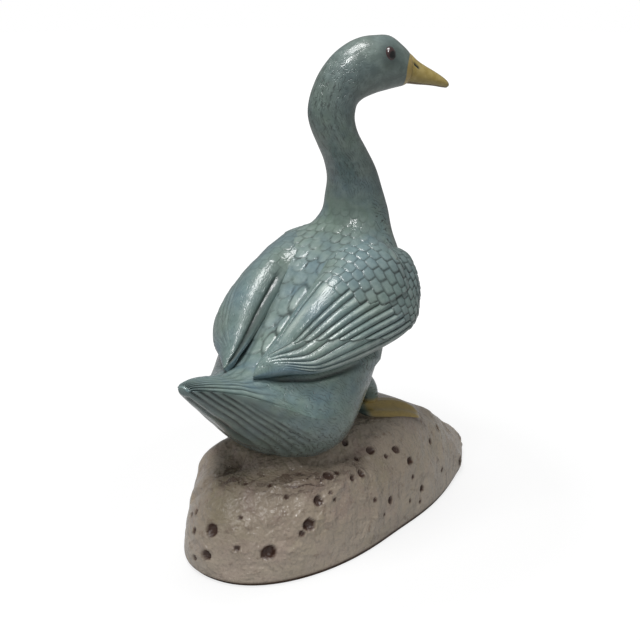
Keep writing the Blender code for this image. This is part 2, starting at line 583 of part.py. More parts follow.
def eye_shell(side):
    """Low dome of a moulded eye."""
    polar = np.linspace(0.0, math.pi, 24)[:, None]
    around = np.linspace(0.0, 2.0 * math.pi, 32)[None, :]
    right, forward, rise = EYE_PLACE
    grid = place(
        side * right + EYE_RADIUS * np.cos(polar),
        forward + EYE_RADIUS * np.sin(polar) * np.cos(around),
        rise + EYE_RADIUS * np.sin(polar) * np.sin(around),
    )
    return twist(grid, np.ones(len(polar)))


def add_shell(mesh, grid):
    """Add a grid of rings to mesh as a closed shell with capped ends."""
    rings, points = grid.shape[0], grid.shape[1] - 1
    vertices = [mesh.verts.new(point) for point in (grid[:, :-1, :].reshape(-1, 3) * MM)]
    for ring in range(rings - 1):
        for point in range(points):
            near, far = ring * points, (ring + 1) * points
            after = (point + 1) % points
            mesh.faces.new([vertices[near + point], vertices[near + after], vertices[far + after],
                            vertices[far + point]])
    for ring in (0, rings - 1):
        mesh.faces.new(vertices[ring * points:(ring + 1) * points])


def casting_mesh():
    """All shells of the casting, laid over one another in one mesh."""
    mesh = bmesh.new()
    for shell in (body_shell(), bill_shell(), rock_shell()):
        add_shell(mesh, shell)
    for side in (1.0, -1.0):
        for shell in (wing_shell(side), shank_shell(side), foot_shell(side), eye_shell(side)):
            add_shell(mesh, shell)
    bmesh.ops.recalc_face_normals(mesh, faces=mesh.faces)
    data = bpy.data.meshes.new(NAME)
    mesh.to_mesh(data)
    mesh.free()
    return data


def painted_chalkware():
    """Greyed turquoise lacquer over plaster."""
    material = bpy.data.materials.new("painted_chalkware")
    material.use_nodes = True
    shader = material.node_tree.nodes["Principled BSDF"]
    shader.inputs["Base Color"].default_value = (0.17, 0.24, 0.22, 1.0)
    shader.inputs["Roughness"].default_value = 0.35
    shader.inputs["Metallic"].default_value = 0.0
    return material


def floor_cutter(collection):
    """Block whose top face is the plane of the underside."""
    depth = 4.0 * ROCK_FOOT_RISE
    bpy.ops.mesh.primitive_cube_add(size=1.0, location=(0.0, 0.0, -depth / 2.0 * MM))
    cutter = bpy.context.object
    cutter.name = "floor_cutter"
    cutter.scale = (2.0 * ROCK_WIDTH * MM, 2.0 * ROCK_LENGTH * MM, depth * MM)
    cutter.hide_render = True
    cutter.display_type = "WIRE"
    for owner in list(cutter.users_collection):
        owner.objects.unlink(cutter)
    collection.objects.link(cutter)
    return cutter


def triangle_count(target):
    """Triangles of an object with its modifiers applied."""
    bpy.context.view_layer.update()
    evaluated = target.evaluated_get(bpy.context.evaluated_depsgraph_get())
    data = evaluated.to_mesh()
    count = sum(len(polygon.vertices) - 2 for polygon in data.polygons)
    evaluated.to_mesh_clear()
    return count


def new_collection(name):
    """Collection linked to the scene."""
    collection = bpy.data.collections.new(name)
    bpy.context.scene.collection.children.link(collection)
    return collection


def build():
    """Make the figurine: overlaid shells, fused skin, fewer triangles, flat underside."""
    for item in list(bpy.data.objects):
        bpy.data.objects.remove(item, do_unlink=True)
    figurine = bpy.data.objects.new(NAME, casting_mesh())
    new_collection("chalkware_goose").objects.link(figurine)
    figurine.data.materials.append(painted_chalkware())

    fuse = figurine.modifiers.new("fuse_shells", "REMESH")
    fuse.mode = "VOXEL"
    fuse.voxel_size = VOXEL * MM
    fused = triangle_count(figurine)
    thin = figurine.modifiers.new("thin_out", "DECIMATE")
    thin.ratio = TARGET_TRIANGLES / fused
    flat = figurine.modifiers.new("flat_underside", "BOOLEAN")
    flat.operation = "DIFFERENCE"
    flat.solver = "EXACT"
    flat.object = floor_cutter(new_collection("cutters"))


build()
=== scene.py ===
"""Looks of a chalkware goose that stands on a pitted rock.

The goose is cast plaster, painted a greyed turquoise, with thinned dark paint wiped into its carving and a
gloss lacquer over it. Light paint stands in for some highlights and dark paint for some shade. Every surface
is worked out in millimetres as a grid of points. Places on the goose are given as (right, forward, rise): to
its right, ahead of its middle, and above the rock's crown.
"""

import itertools
import logging
import math
from collections.abc import Callable
from dataclasses import dataclass, field
from enum import Enum

import bpy
import numpy as np
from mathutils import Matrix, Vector


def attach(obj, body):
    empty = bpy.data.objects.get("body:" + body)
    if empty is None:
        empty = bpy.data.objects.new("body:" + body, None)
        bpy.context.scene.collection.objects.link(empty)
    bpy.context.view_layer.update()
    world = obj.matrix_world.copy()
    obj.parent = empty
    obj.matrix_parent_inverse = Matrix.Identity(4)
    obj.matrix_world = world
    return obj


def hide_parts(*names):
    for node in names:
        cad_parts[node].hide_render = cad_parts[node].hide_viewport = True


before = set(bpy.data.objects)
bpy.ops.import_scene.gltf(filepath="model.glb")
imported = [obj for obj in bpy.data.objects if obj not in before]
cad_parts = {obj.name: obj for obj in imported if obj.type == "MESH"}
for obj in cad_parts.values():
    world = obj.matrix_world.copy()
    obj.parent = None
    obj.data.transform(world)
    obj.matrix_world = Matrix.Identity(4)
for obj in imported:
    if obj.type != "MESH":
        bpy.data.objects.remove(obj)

LOG = logging.getLogger("goose")
MM = 0.001  # metres in a millimetre
NODE = "goose_figurine"
ROCK_HEIGHT = 66.0  # level of the rock's crown above its underside, in mm
HEAD_TURN = 37.0  # turn of the head against the body, in degrees
NECK_AXIS_FORWARD = -4.4  # how far ahead of the goose's middle that turn's upright axis is, in mm
FLOW_UNIT = 100.0  # millimetres to one unit of the flow UV map
FAR = 99.0  # distance in mm that stands for nothing near

Array = np.ndarray
Fields = dict[str, Array]
Material = bpy.types.Material
Piece = bpy.types.Object
Socket = bpy.types.NodeSocket
Tree = bpy.types.NodeTree


class Side(Enum):
    """Side of the goose, as the sign of its distance to the right."""

    RIGHT = 1.0
    LEFT = -1.0


def smooth_step(low: float, high: float, value: Array | float) -> Array:
    """Rise from 0 to 1 as 3t^2 - 2t^3, where t goes from 0 at low to 1 at high.

    Args:
        low: value where the rise starts.
        high: value where it ends.
        value: values to map.

    Returns:
        Shares from 0 to 1.
    """
    share = np.clip((value - low) / (high - low), 0.0, 1.0)
    return share * share * (3.0 - 2.0 * share)


def fade(low: float, high: float, value: Array | float) -> Array:
    """Fall from 1 to 0 where smooth_step rises."""
    return 1.0 - smooth_step(low, high, value)


def window(rise: tuple[float, float], fall: tuple[float, float], value: Array) -> Array:
    """Share that rises from 0 to 1 over one span of values and falls back over another."""
    return smooth_step(*rise, value) * fade(*fall, value)


def through(rows: tuple | Array, stations: Array) -> Array:
    """Read a Catmull-Rom curve through rows.

    Args:
        rows: the rows of numbers that the curve passes through.
        stations: places along it, counted in rows.

    Returns:
        One interpolated row for each station.
    """
    rows = np.asarray(rows, float)
    ends = np.vstack([2 * rows[0] - rows[1], rows, 2 * rows[-1] - rows[-2]])
    start = np.clip(stations.astype(int), 0, len(rows) - 2)
    share = (stations - start)[:, None]
    before, here, after, beyond = (ends[start + step] for step in range(4))
    return 0.5 * (
        2 * here
        + (after - before) * share
        + (2 * before - 5 * here + 4 * after - beyond) * share**2
        + (3 * here - before - 3 * after + beyond) * share**3
    )


def place(right: Array, forward: Array, rise: Array) -> Array:
    """Turn places on the goose into x, y and z in millimetres, z above the underside."""
    return np.stack(np.broadcast_arrays(-right, -forward, rise + ROCK_HEIGHT), axis=-1)


def twist(grid: Array, share: Array) -> Array:
    """Turn rings about the neck's upright axis.

    Args:
        grid: rings of points.
        share: for each ring, the share of the head's turn that it takes.

    Returns:
        The turned rings.
    """
    angle = math.radians(HEAD_TURN) * share[:, None]
    x = grid[..., 0]
    y = grid[..., 1] + NECK_AXIS_FORWARD
    turned = grid.copy()
    turned[..., 0] = x * np.cos(angle) + y * np.sin(angle)
    turned[..., 1] = y * np.cos(angle) - x * np.sin(angle) - NECK_AXIS_FORWARD
    return turned


def outward_normals(grid: Array, centre: Array) -> Array:
    """Unit normals of a grid: the cross product of its two gradients, turned away from a centre.

    Args:
        grid: rows of points.
        centre: what the normals turn away from, one point or one for each row.

    Returns:
        One unit vector for each point.
    """
    normals = np.cross(np.gradient(grid, axis=0), np.gradient(grid, axis=1))
    normals /= np.linalg.norm(normals, axis=2, keepdims=True) + 1e-9
    facing = np.sign(np.sum(normals * (grid - centre), axis=2, keepdims=True))
    return normals * facing


def path_length(line: Array) -> Array:
    """Distance along a line of points, from its first one."""
    return np.concatenate([[0.0], np.cumsum(np.linalg.norm(np.diff(line, axis=0), axis=1))])


def ring_length(grid: Array) -> Array:
    """Distance round each ring from its first point."""
    steps = np.linalg.norm(np.diff(grid, axis=1), axis=2)
    return np.concatenate([np.zeros((grid.shape[0], 1)), np.cumsum(steps, axis=1)], axis=1)


def cell_value(cells: Array, seed: int) -> Array:
    """Fixed pseudo-random value for each whole-number cell, from an integer hash.

    Args:
        cells: three whole numbers for each place.
        seed: picks another pattern.

    Returns:
        Values from 0 to 1.
    """
    x, y, z = (cells[..., axis].astype(np.int64) for axis in range(3))
    mixed = ((x * 73856093) ^ (y * 19349663) ^ (z * 83492791) ^ (seed * 265443576)) & 0xFFFFFFFF
    mixed = ((mixed ^ (mixed >> 13)) * 1274126177) & 0xFFFFFFFF
    mixed = ((mixed ^ (mixed >> 15)) * 668265263) & 0xFFFFFFFF
    return ((mixed ^ (mixed >> 16)) & 0xFFFFFF) / float(0xFFFFFF)


def value_noise(points: Array, cell: float, seed: int = 0) -> Array:
    """Smooth noise: random values at the corners of cubes, blended with 3t^2 - 2t^3 along each edge.

    Args:
        points: x, y and z in millimetres.
        cell: edge of the cubes in millimetres.
        seed: picks another pattern.

    Returns:
        Values from -1 to 1.
    """
    scaled = points / cell
    low = np.floor(scaled)
    share = scaled - low
    share = share * share * (3.0 - 2.0 * share)
    total = np.zeros(points.shape[:-1])
    for corner in itertools.product((0.0, 1.0), repeat=3):
        offset = np.array(corner)
        weight = np.prod(np.where(offset > 0.5, share, 1.0 - share), axis=-1)
        total += weight * cell_value(low + offset, seed)
    return 2.0 * total - 1.0


def line_depth(distance: Array, half_width: float) -> Array:
    """Depth, 0 to 1, of an engraved line: exp(-(distance / half width)^2)."""
    return np.exp(-((distance / half_width) ** 2))


def line_distance(points: Array, line: Array) -> Array:
    """Distance from each point to a line of straight pieces.

    Args:
        points: the points.
        line: the ends of the pieces, in order.

    Returns:
        Distances in mm.
    """
    nearest = np.full(points.shape[:-1], np.inf)
    for start, end in zip(line[:-1], line[1:]):
        piece = end - start
        share = np.clip((points - start) @ piece / (piece @ piece), 0.0, 1.0)
        nearest = np.minimum(nearest, np.linalg.norm(points - start - share[..., None] * piece, axis=-1))
    return nearest


def gap_to(points: Array, other: Array, normals: Array, wanted: Array) -> Array:
    """Distance from points to another surface, measured along its normals.

    Args:
        points: points of the first surface.
        other: samples of the other surface.
        normals: its unit normals there.
        wanted: where the distance is needed; elsewhere it is FAR.

    Returns:
        The distance at each point, in mm.
    """
    samples, facing = other.reshape(-1, 3).astype(np.float32), normals.reshape(-1, 3)
    chosen = points[wanted].astype(np.float32)
    length = np.sum(samples**2, axis=1)
    batches = np.array_split(chosen, 1 + len(chosen) // 2000)
    nearest = np.concatenate([np.argmin(length - 2.0 * batch @ samples.T, axis=1) for batch in batches])
    away = np.full(points.shape[:-1], FAR)
    away[wanted] = np.abs(np.sum((chosen - samples[nearest]) * facing[nearest], axis=1))
    return away


@dataclass(frozen=True)
class Valley:
    """Valley between the wings and the back: a fillet behind the shoulders and a dark crease behind it.

    Places along it are spans of millimetres forward of the goose's middle.

    Attributes:
        reach: how far the fillet runs out from the valley, in mm.
        less_on_left: how much less it runs out beside the left wing, in mm.
        tip_reach: its reach by the left wing's tip, which the carver ran into the back, in mm.
        least_reach: reach where there is no fillet, in mm.
        opens, closes: where the fillet grows and where it ends, towards the head.
        tip_opens: where the part by the left wing's tip grows.
        crease_width: half width of the crease, in mm.
        crease_opens, crease_closes: where the crease grows and where it ends.
    """

    reach: float = 16.0
    less_on_left: float = 3.0
    tip_reach: float = 5.0
    least_reach: float = 0.01
    opens: tuple[float, float] = (-52.0, -18.0)
    closes: tuple[float, float] = (-6.0, 16.0)
    tip_opens: tuple[float, float] = (-95.0, -80.0)
    crease_width: float = 1.3
    crease_opens: tuple[float, float] = (-94.0, -84.0)
    crease_closes: tuple[float, float] = (-56.0, -36.0)

    def lift(self, points: Array, away: Array, on_left: Array | float) -> Array:
        """Lift that rounds the valley: (reach - away)^2 / (4 * reach).

        Args:
            points: points of the back or of a wing.
            away: distance to the other surface in mm.
            on_left: 1 on the goose's left, 0 on its right.

        Returns:
            The lift in mm.
        """
        forward = -points[..., 1]
        reach = (self.reach - self.less_on_left * on_left) * window(self.opens, self.closes, forward)
        tip_reach = on_left * self.tip_reach * smooth_step(*self.tip_opens, forward)
        reach = np.maximum(reach, tip_reach) + self.least_reach
        reach = np.where(forward > self.closes[1], self.least_reach, reach)
        return np.clip(reach - away, 0.0, None) ** 2 / (4.0 * reach)

    def crease(self, points: Array, away: Array) -> Array:
        """Find where the dark crease runs.

        Args:
            points: points of the back or of a wing.
            away: distance to the other surface in mm.

        Returns:
            Darkness, 0 to 1.
        """
        forward = -points[..., 1]
        return line_depth(away, self.crease_width) * window(self.crease_opens, self.crease_closes, forward)


VALLEY = Valley()


@dataclass
class ScaleField:
    """Overlapping scales in rows, like roof tiles, each a superellipse with straight sides behind it.

    Attributes:
        reach: where a scale's free end lies, in rows from its own row line.
        rounding: length of the rounded end, in rows.
        power: 2 for a round end, more for a squarer one.
    """

    reach: float = 1.5
    rounding: float = 0.7
    power: float = 2.2

    def measure(
        self,
        rows: Array,
        across: Array,
        row_pitch: Array | float,
        across_pitch: Array | float,
        last_row: Callable[[Array], Array] | None = None,
    ) -> tuple[Array, Array, Array, Array]:
        """Find the top scale at each point. Earlier rows lie over later ones.

        Args:
            rows: position along the scales, counted in rows.
            across: position across them, counted in scales.
            row_pitch: millimetres per row.
            across_pitch: millimetres per scale.
            last_row: gives the last row that has scales, by position across.

        Returns:
            Height of the top scale from 0 at its root to 1 at its free end, distance in millimetres to
            the nearest visible edge, 1 where any scale covers the point, and a fixed random value from 0
            to 1 for each scale.
        """
        first = np.floor(rows)
        nearest = np.full(rows.shape, FAR)
        height = np.zeros(rows.shape)
        covered = np.zeros(rows.shape)
        chance = np.full(rows.shape, 0.5)
        bend = self.reach - self.rounding
        for step in (1, 0, -1, -2):
            row = first + step
            aside = np.mod(across + 0.5 * np.mod(row, 2.0), 1.0) - 0.5
            ahead = rows - row
            tip = np.clip((ahead - bend) / self.rounding, 0.0, None)
            flank = np.abs(2.0 * aside)
            norm = (flank**self.power + tip**self.power) ** (1.0 / self.power) + 1e-6
            slope = np.hypot(
                (flank / norm) ** (self.power - 1.0) * 2.0 / across_pitch,
                (tip / norm) ** (self.power - 1.0) / (self.rounding * row_pitch),
            )
            distance = np.abs(norm - 1.0) / (slope + 1e-4)
            allowed = np.ones(rows.shape, bool) if last_row is None else row <= last_row(across - aside)
            inside = (norm < 1.0) & (ahead > -0.6) & allowed
            shape = np.clip(ahead / self.reach, 0.0, 1.0) * (1.0 - 0.35 * flank**2)
            outside = np.where(allowed & (ahead > 0.0), np.minimum(nearest, distance), nearest)
            nearest = np.where(inside, distance, outside)
            height = np.where(inside, shape, height)
            covered = np.where(inside, 1.0, covered)
            own = np.stack([row, np.floor(across + 0.5 * np.mod(row, 2.0)), row], axis=-1)
            chance = np.where(inside, cell_value(own, 3), chance)
        return height, nearest, covered, chance


@dataclass
class Surface:
    """A closed grid of rings, ready to become a mesh. Its ends are closed by fans of triangles.

    Attributes:
        name: the piece's name.
        grid: rings by points by 3, in millimetres; the last point of each ring repeats its first.
        fields: one value per grid point, by attribute name.
        flow: two surface coordinates per grid point, in millimetres; FLOW_UNIT is one unit of the UV map.
        capped_flat: whether the end rings are seams that must keep their own shading.
    """

    name: str
    grid: Array
    fields: Fields
    flow: Array
    capped_flat: bool = False

    def to_object(self, material: Material) -> Piece:
        """Build the mesh, ride it on the frame and dress it.

        Args:
            material: the finish.

        Returns:
            The new object, at the origin, with its place in its mesh.
        """
        rings, points = self.grid.shape[0], self.grid.shape[1] - 1
        ring_points = self.grid[:, :-1].reshape(-1, 3)
        poles = np.stack([self.grid[0, :-1].mean(axis=0), self.grid[-1, :-1].mean(axis=0)])
        vertices = np.concatenate([ring_points, poles]) * MM
        ring = np.arange(rings - 1)[:, None] * points
        here, after = np.arange(points)[None, :], (np.arange(points) + 1)[None, :] % points
        corners = [ring + here, ring + after, ring + points + after, ring + points + here]
        quads = np.stack(corners, axis=-1).reshape(-1, 4)
        last = (rings - 1) * points
        near, far = here[0], after[0]
        caps = np.concatenate([
            np.stack([far, near, np.full(points, rings * points)], axis=-1),
            np.stack([last + near, last + far, np.full(points, rings * points + 1)], axis=-1),
        ])
        a, b, c = (vertices[quads[:, corner]] for corner in (0, 1, 2))
        if np.sum(np.cross(a, b) * c) < 0.0:
            quads, caps = quads[:, ::-1], caps[:, ::-1]
        loops = np.concatenate([quads.ravel(), caps.ravel()])
        sizes = np.concatenate([np.full(len(quads), 4), np.full(len(caps), 3)])
        mesh = bpy.data.meshes.new(self.name)
        mesh.vertices.add(len(vertices))
        mesh.vertices.foreach_set("co", vertices.ravel())
        mesh.loops.add(len(loops))
        mesh.loops.foreach_set("vertex_index", loops.astype(np.int32))
        mesh.polygons.add(len(sizes))
        starts = np.concatenate([[0], np.cumsum(sizes)[:-1]])
        mesh.polygons.foreach_set("loop_start", starts.astype(np.int32))
        mesh.polygons.foreach_set("use_smooth", np.ones(len(sizes), bool))
        mesh.update(calc_edges=True)
        mesh.validate()
        self._write_fields(mesh, loops)
        if self.capped_flat:
            self._keep_end_shading(mesh, rings, points)
        mesh.materials.append(material)
        piece = new_object(self.name, mesh)
        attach(piece, "root")
        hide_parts(NODE)
        LOG.info("%s: %d triangles", self.name, len(quads) * 2 + len(caps))
        return piece

    def _write_fields(self, mesh: bpy.types.Mesh, loops: Array) -> None:
        """Store the fields as point attributes and the flow as a UV map.

        Args:
            mesh: the piece's mesh.
            loops: the vertex of each face corner.
        """
        for name, values in self.fields.items():
            values = np.broadcast_to(values, self.grid.shape[:2])
            ends = [values[0].mean(), values[-1].mean()]
            attribute = mesh.attributes.new(name, "FLOAT", "POINT")
            values = np.append(values[:, :-1].ravel(), ends)
            attribute.data.foreach_set("value", values.astype(np.float32))
        flow = np.concatenate([self.flow[:, :-1].reshape(-1, 2), self.flow[(0, -1), 0]])
        layer = mesh.uv_layers.new(name="flow")
        layer.uv.foreach_set("vector", (flow[loops] / FLOW_UNIT).astype(np.float32).ravel())

    def _keep_end_shading(self, mesh: bpy.types.Mesh, rings: int, points: int) -> None:
        """Mark the edges of both end rings sharp, so that the caps don't bend the shading where the pieces
        meet.

        Args:
            mesh: the piece's mesh.
            rings: number of rings.
            points: points in each ring.
        """
        edges = np.zeros(len(mesh.edges) * 2, np.int32)
        mesh.edges.foreach_get("vertices", edges)
        edges = edges.reshape(-1, 2)
        ring_of = edges // points
        ends = (ring_of[:, 0] == ring_of[:, 1]) & ((ring_of[:, 0] == 0) | (ring_of[:, 0] == rings - 1))
        attribute = mesh.attributes.new("sharp_edge", "BOOLEAN", "EDGE")
        attribute.data.foreach_set("value", ends & (edges.max(axis=1) < rings * points))


def new_object(name: str, data: bpy.types.ID) -> Piece:
    """Make an object for a mesh, lamp or camera and put it into the scene."""
    made = bpy.data.objects.new(name, data)
    bpy.context.scene.collection.objects.link(made)
    return made


def linear(code: str) -> tuple[float, float, float, float]:
    """Turn an sRGB hex colour into linear values with alpha 1."""
    channels = [int(code[start:start + 2], 16) / 255.0 for start in (1, 3, 5)]
    return (*(c / 12.92 if c <= 0.04045 else ((c + 0.055) / 1.055) ** 2.4 for c in channels), 1.0)


def connect(tree: Tree, node: bpy.types.Node, inputs: dict[str | int, object]) -> None:
    """Set a node's inputs.

    Args:
        tree: the node tree.
        node: the node.
        inputs: by socket, the value it is set to or the socket it is linked to.
    """
    for socket, value in inputs.items():
        if isinstance(value, Socket):
            tree.links.new(value, node.inputs[socket])
        else:
            node.inputs[socket].default_value = value


def add_node(
    tree: Tree, kind: str, inputs: dict[str | int, object] | None = None, **settings: object
) -> bpy.types.Node:
    """Add a node to a tree.

    Args:
        tree: the node tree.
        kind: the node's type, such as ShaderNodeMath.
        inputs: by socket, the value it is set to or the socket it is linked to.
        settings: the node's own properties.

    Returns:
        The node.
    """
    node = tree.nodes.new(kind)
    for name, value in settings.items():
        setattr(node, name, value)
    connect(tree, node, inputs or {})
    return node


def object_place(tree: Tree) -> Socket:
    """Place on the object, in metres."""
    return add_node(tree, "ShaderNodeTexCoord").outputs["Object"]


def read_fields(tree: Tree, *names: str) -> list[Socket]:
    """Read a mesh's fields by name."""
    return [add_node(tree, "ShaderNodeAttribute", attribute_name=name).outputs["Fac"] for name in names]


def noise(
    tree: Tree, where: Socket, cell: float, detail: float, roughness: float = 0.5, bend: float = 0.0
) -> Socket:
    """Cloudy noise from 0 to 1.

    Args:
        tree: the node tree.
        where: place, in metres.
        cell: size of a cloud in mm.
        detail: number of finer octaves.
        roughness: strength of the finer octaves.
        bend: how far the clouds are bent.

    Returns:
        The noise.
    """
    return add_node(tree, "ShaderNodeTexNoise", {
        "Vector": where, "Scale": 1.0 / (cell * MM), "Detail": detail, "Roughness": roughness,
        "Distortion": bend}).outputs[0]


def ramp(tree: Tree, value: Socket, low: float, high: float, top: float = 1.0, bottom: float = 0.0) -> Socket:
    """Map values to a straight ramp, level beyond its ends.

    Args:
        tree: the node tree.
        value: the value.
        low: value at the ramp's bottom.
        high: value at its top.
        top: result at high.
        bottom: result at low.

    Returns:
        The result.
    """
    return add_node(tree, "ShaderNodeMapRange", {
        "Value": value, "From Min": low, "From Max": high, "To Min": bottom, "To Max": top}).outputs[0]


def calculate(tree: Tree, operation: str, *values: object) -> Socket:
    """Apply a Math node's operation to values or sockets."""
    return add_node(tree, "ShaderNodeMath", dict(enumerate(values)), operation=operation).outputs[0]


def layered(tree: Tree, base: str, *layers: tuple[Socket, str]) -> Socket:
    """Lay paints over a base colour, each by the share, 0 to 1, that it covers.

    Args:
        tree: the node tree.
        base: hex colour of the base.
        layers: share and hex colour of each paint, from the first to the last.

    Returns:
        The colour.
    """
    colour = linear(base)
    for share, code in layers:
        colour = add_node(tree, "ShaderNodeMix", {0: share, 6: colour, 7: linear(code)}, data_type="RGBA",
                          clamp_factor=True).outputs[2]
    return colour


def bumped(tree: Tree, height: Socket, strength: float, depth: float) -> Socket:
    """Normal bent by a height, of which one unit is depth mm deep."""
    return add_node(tree, "ShaderNodeBump", {
        "Strength": strength, "Distance": depth * MM, "Height": height}).outputs[0]


def empty_tree(owner: Material | bpy.types.World) -> Tree:
    """Switch a material or world to nodes and clear them."""
    owner.use_nodes = True
    owner.node_tree.nodes.clear()
    return owner.node_tree


def new_material(name: str) -> tuple[Material, Tree, bpy.types.Node]:
    """Make an empty node material and return it with its tree and its Principled shader."""
    material = bpy.data.materials.new(name)
    tree = empty_tree(material)
    shader = add_node(tree, "ShaderNodeBsdfPrincipled")
    add_node(tree, "ShaderNodeOutputMaterial", {"Surface": shader.outputs[0]})
    return material, tree, shader


@dataclass(frozen=True)
class LacqueredPaint:
    """Greyed turquoise oil paint on plaster, wiped so that dark stays in the carving, under gloss lacquer.

    The eye sees a cloudy blue-green that turns from bluish to greenish over centimetres, near-black green
    lines in the grooves, light paint on ridges and raised tips as painted highlight, painted shade on the
    neck, the underside, round the eyes and under the feet, and sharp highlights broken by brush marks in the
    lacquer.

    Attributes:
        body, greener, bluer, drab_and_shade: tones of the paint; drab_and_shade is a duller, darker tone laid
            on as
        painted shade on the neck, head and underside, the wings' lower parts and the left wing's upper edge.
        pale_and_painted_light, wash_and_shade, ochre: light wiped patches with painted highlights on ridges
        and raised tips; dark thinned paint in the grooves, with painted shade round the eyes and under the
        feet; yellow paint of the bill and the feet.
        cloud, mottle, warp, gaps, grain: sizes of the noises, in mm.
        strand, stroke: millimetres between combed lines and between brush strokes.
        relief: depth of the brush marks, in mm.
        roughness, specular, lacquer_roughness: of the paint and of the lacquer over it.
    """

    body: str = "#7F948E"
    greener: str = "#829B8D"
    bluer: str = "#6C8B9A"
    drab_and_shade: str = "#616D67"
    pale_and_painted_light: str = "#B4C4BD"
    wash_and_shade: str = "#2F3836"
    ochre: str = "#BFA55E"
    cloud: float = 22.0
    mottle: float = 5.0
    warp: float = 7.0
    gaps: float = 4.0
    grain: float = 1.3
    strand: float = 1.9
    stroke: float = 2.3
    relief: float = 0.5
    roughness: float = 0.5
    specular: float = 0.35
    lacquer_roughness: float = 0.15

    def material(self) -> Material:
        """Build the node material."""
        material, tree, shader = new_material("lacquered_turquoise_chalkware")
        where = object_place(tree)
        cloud, mottle, grain, warp, gaps = (
            noise(tree, where, cell, detail, 0.58)
            for cell, detail in ((self.cloud, 3.0), (self.mottle, 4.0), (self.grain, 3.0), (self.warp, 2.0),
                                 (self.gaps, 2.0))
        )
        groove, ridge_highlight, hair, ochre, tint, strokes, strand, drab_and_shade = read_fields(
            tree, "groove", "ridge_highlight", "hair", "ochre", "tint", "strokes", "strand", "drab_and_shade")
        flow = add_node(tree, "ShaderNodeUVMap", uv_map="flow").outputs[0]
        path = add_node(tree, "ShaderNodeSeparateXYZ", {0: flow}).outputs[0]
        path = calculate(tree, "MULTIPLY", path, FLOW_UNIT)
        lines = calculate(
            tree, "MAXIMUM",
            self._brushed(tree, strand, (warp, grain, gaps), self.strand, hair),
            self._brushed(tree, path, (warp, grain, gaps), self.stroke, strokes))

        # Light paint on ridges and raised tips is painted highlight, laid over light patches of paint from
        # the mottle.
        rubbed_and_highlight = calculate(tree, "MULTIPLY", ramp(tree, mottle, 0.45, 0.75, 0.35), 0.6)
        rubbed_and_highlight = calculate(tree, "MULTIPLY_ADD", ridge_highlight, 0.8, rubbed_and_highlight)
        # Dark share: thinned paint in the carving, plus painted shade round the eyes and under the feet.
        dark = calculate(tree, "MULTIPLY", groove, ramp(tree, mottle, 0.3, 0.6, 1.0, 0.55))
        dark = calculate(tree, "MAXIMUM", dark, calculate(tree, "MULTIPLY", lines, 0.9))
        dark = calculate(tree, "ADD", dark, ramp(tree, mottle, 0.52, 0.30, 0.14))
        colour = layered(
            tree, self.body, (ramp(tree, cloud, 0.38, 0.66), self.greener), (tint, self.bluer),
            (drab_and_shade, self.drab_and_shade), (rubbed_and_highlight, self.pale_and_painted_light), (ochre, self.ochre), (dark, self.wash_and_shade))

        height = calculate(tree, "MULTIPLY_ADD", mottle, 0.9, calculate(tree, "MULTIPLY", grain, 0.15))
        height = calculate(tree, "MULTIPLY", height, ramp(tree, drab_and_shade, 0.6, 0.8, 0.3, 1.0))
        height = calculate(tree, "MULTIPLY_ADD", lines, -0.9, height)
        bump = bumped(tree, height, 0.7, self.relief)
        connect(tree, shader, {
            "Base Color": colour, "Normal": bump, "Coat Normal": bump, "Roughness": self.roughness,
            "Specular IOR Level": self.specular, "Coat Weight": 1.0,
            "Coat Roughness": self.lacquer_roughness})
        return material

    def _brushed(
        self, tree: Tree, across: Socket, noises: tuple[Socket, Socket, Socket], spacing: float, mask: Socket
    ) -> Socket:
        """Wavy combed lines: crests of a triangle wave across the strands, bent and broken by noise.

        Args:
            tree: the material's tree.
            across: millimetres across the strands.
            noises: slow noise that bends them, fine noise that frays them, and noise that breaks them.
            spacing: millimetres between them.
            mask: strength, 0 to 1.

        Returns:
            Line strength, 0 to 1.
        """
        warp, grain, gaps = noises
        bent = calculate(tree, "MULTIPLY_ADD", warp, 9.0, across)
        bent = calculate(tree, "MULTIPLY_ADD", grain, 0.9, bent)
        wave = calculate(tree, "PINGPONG", bent, spacing / 2.0)
        line = ramp(tree, wave, spacing * 0.33, spacing * 0.48)
        kept = calculate(tree, "MULTIPLY", line, ramp(tree, gaps, 0.40, 0.52))
        return calculate(tree, "MULTIPLY", kept, mask)


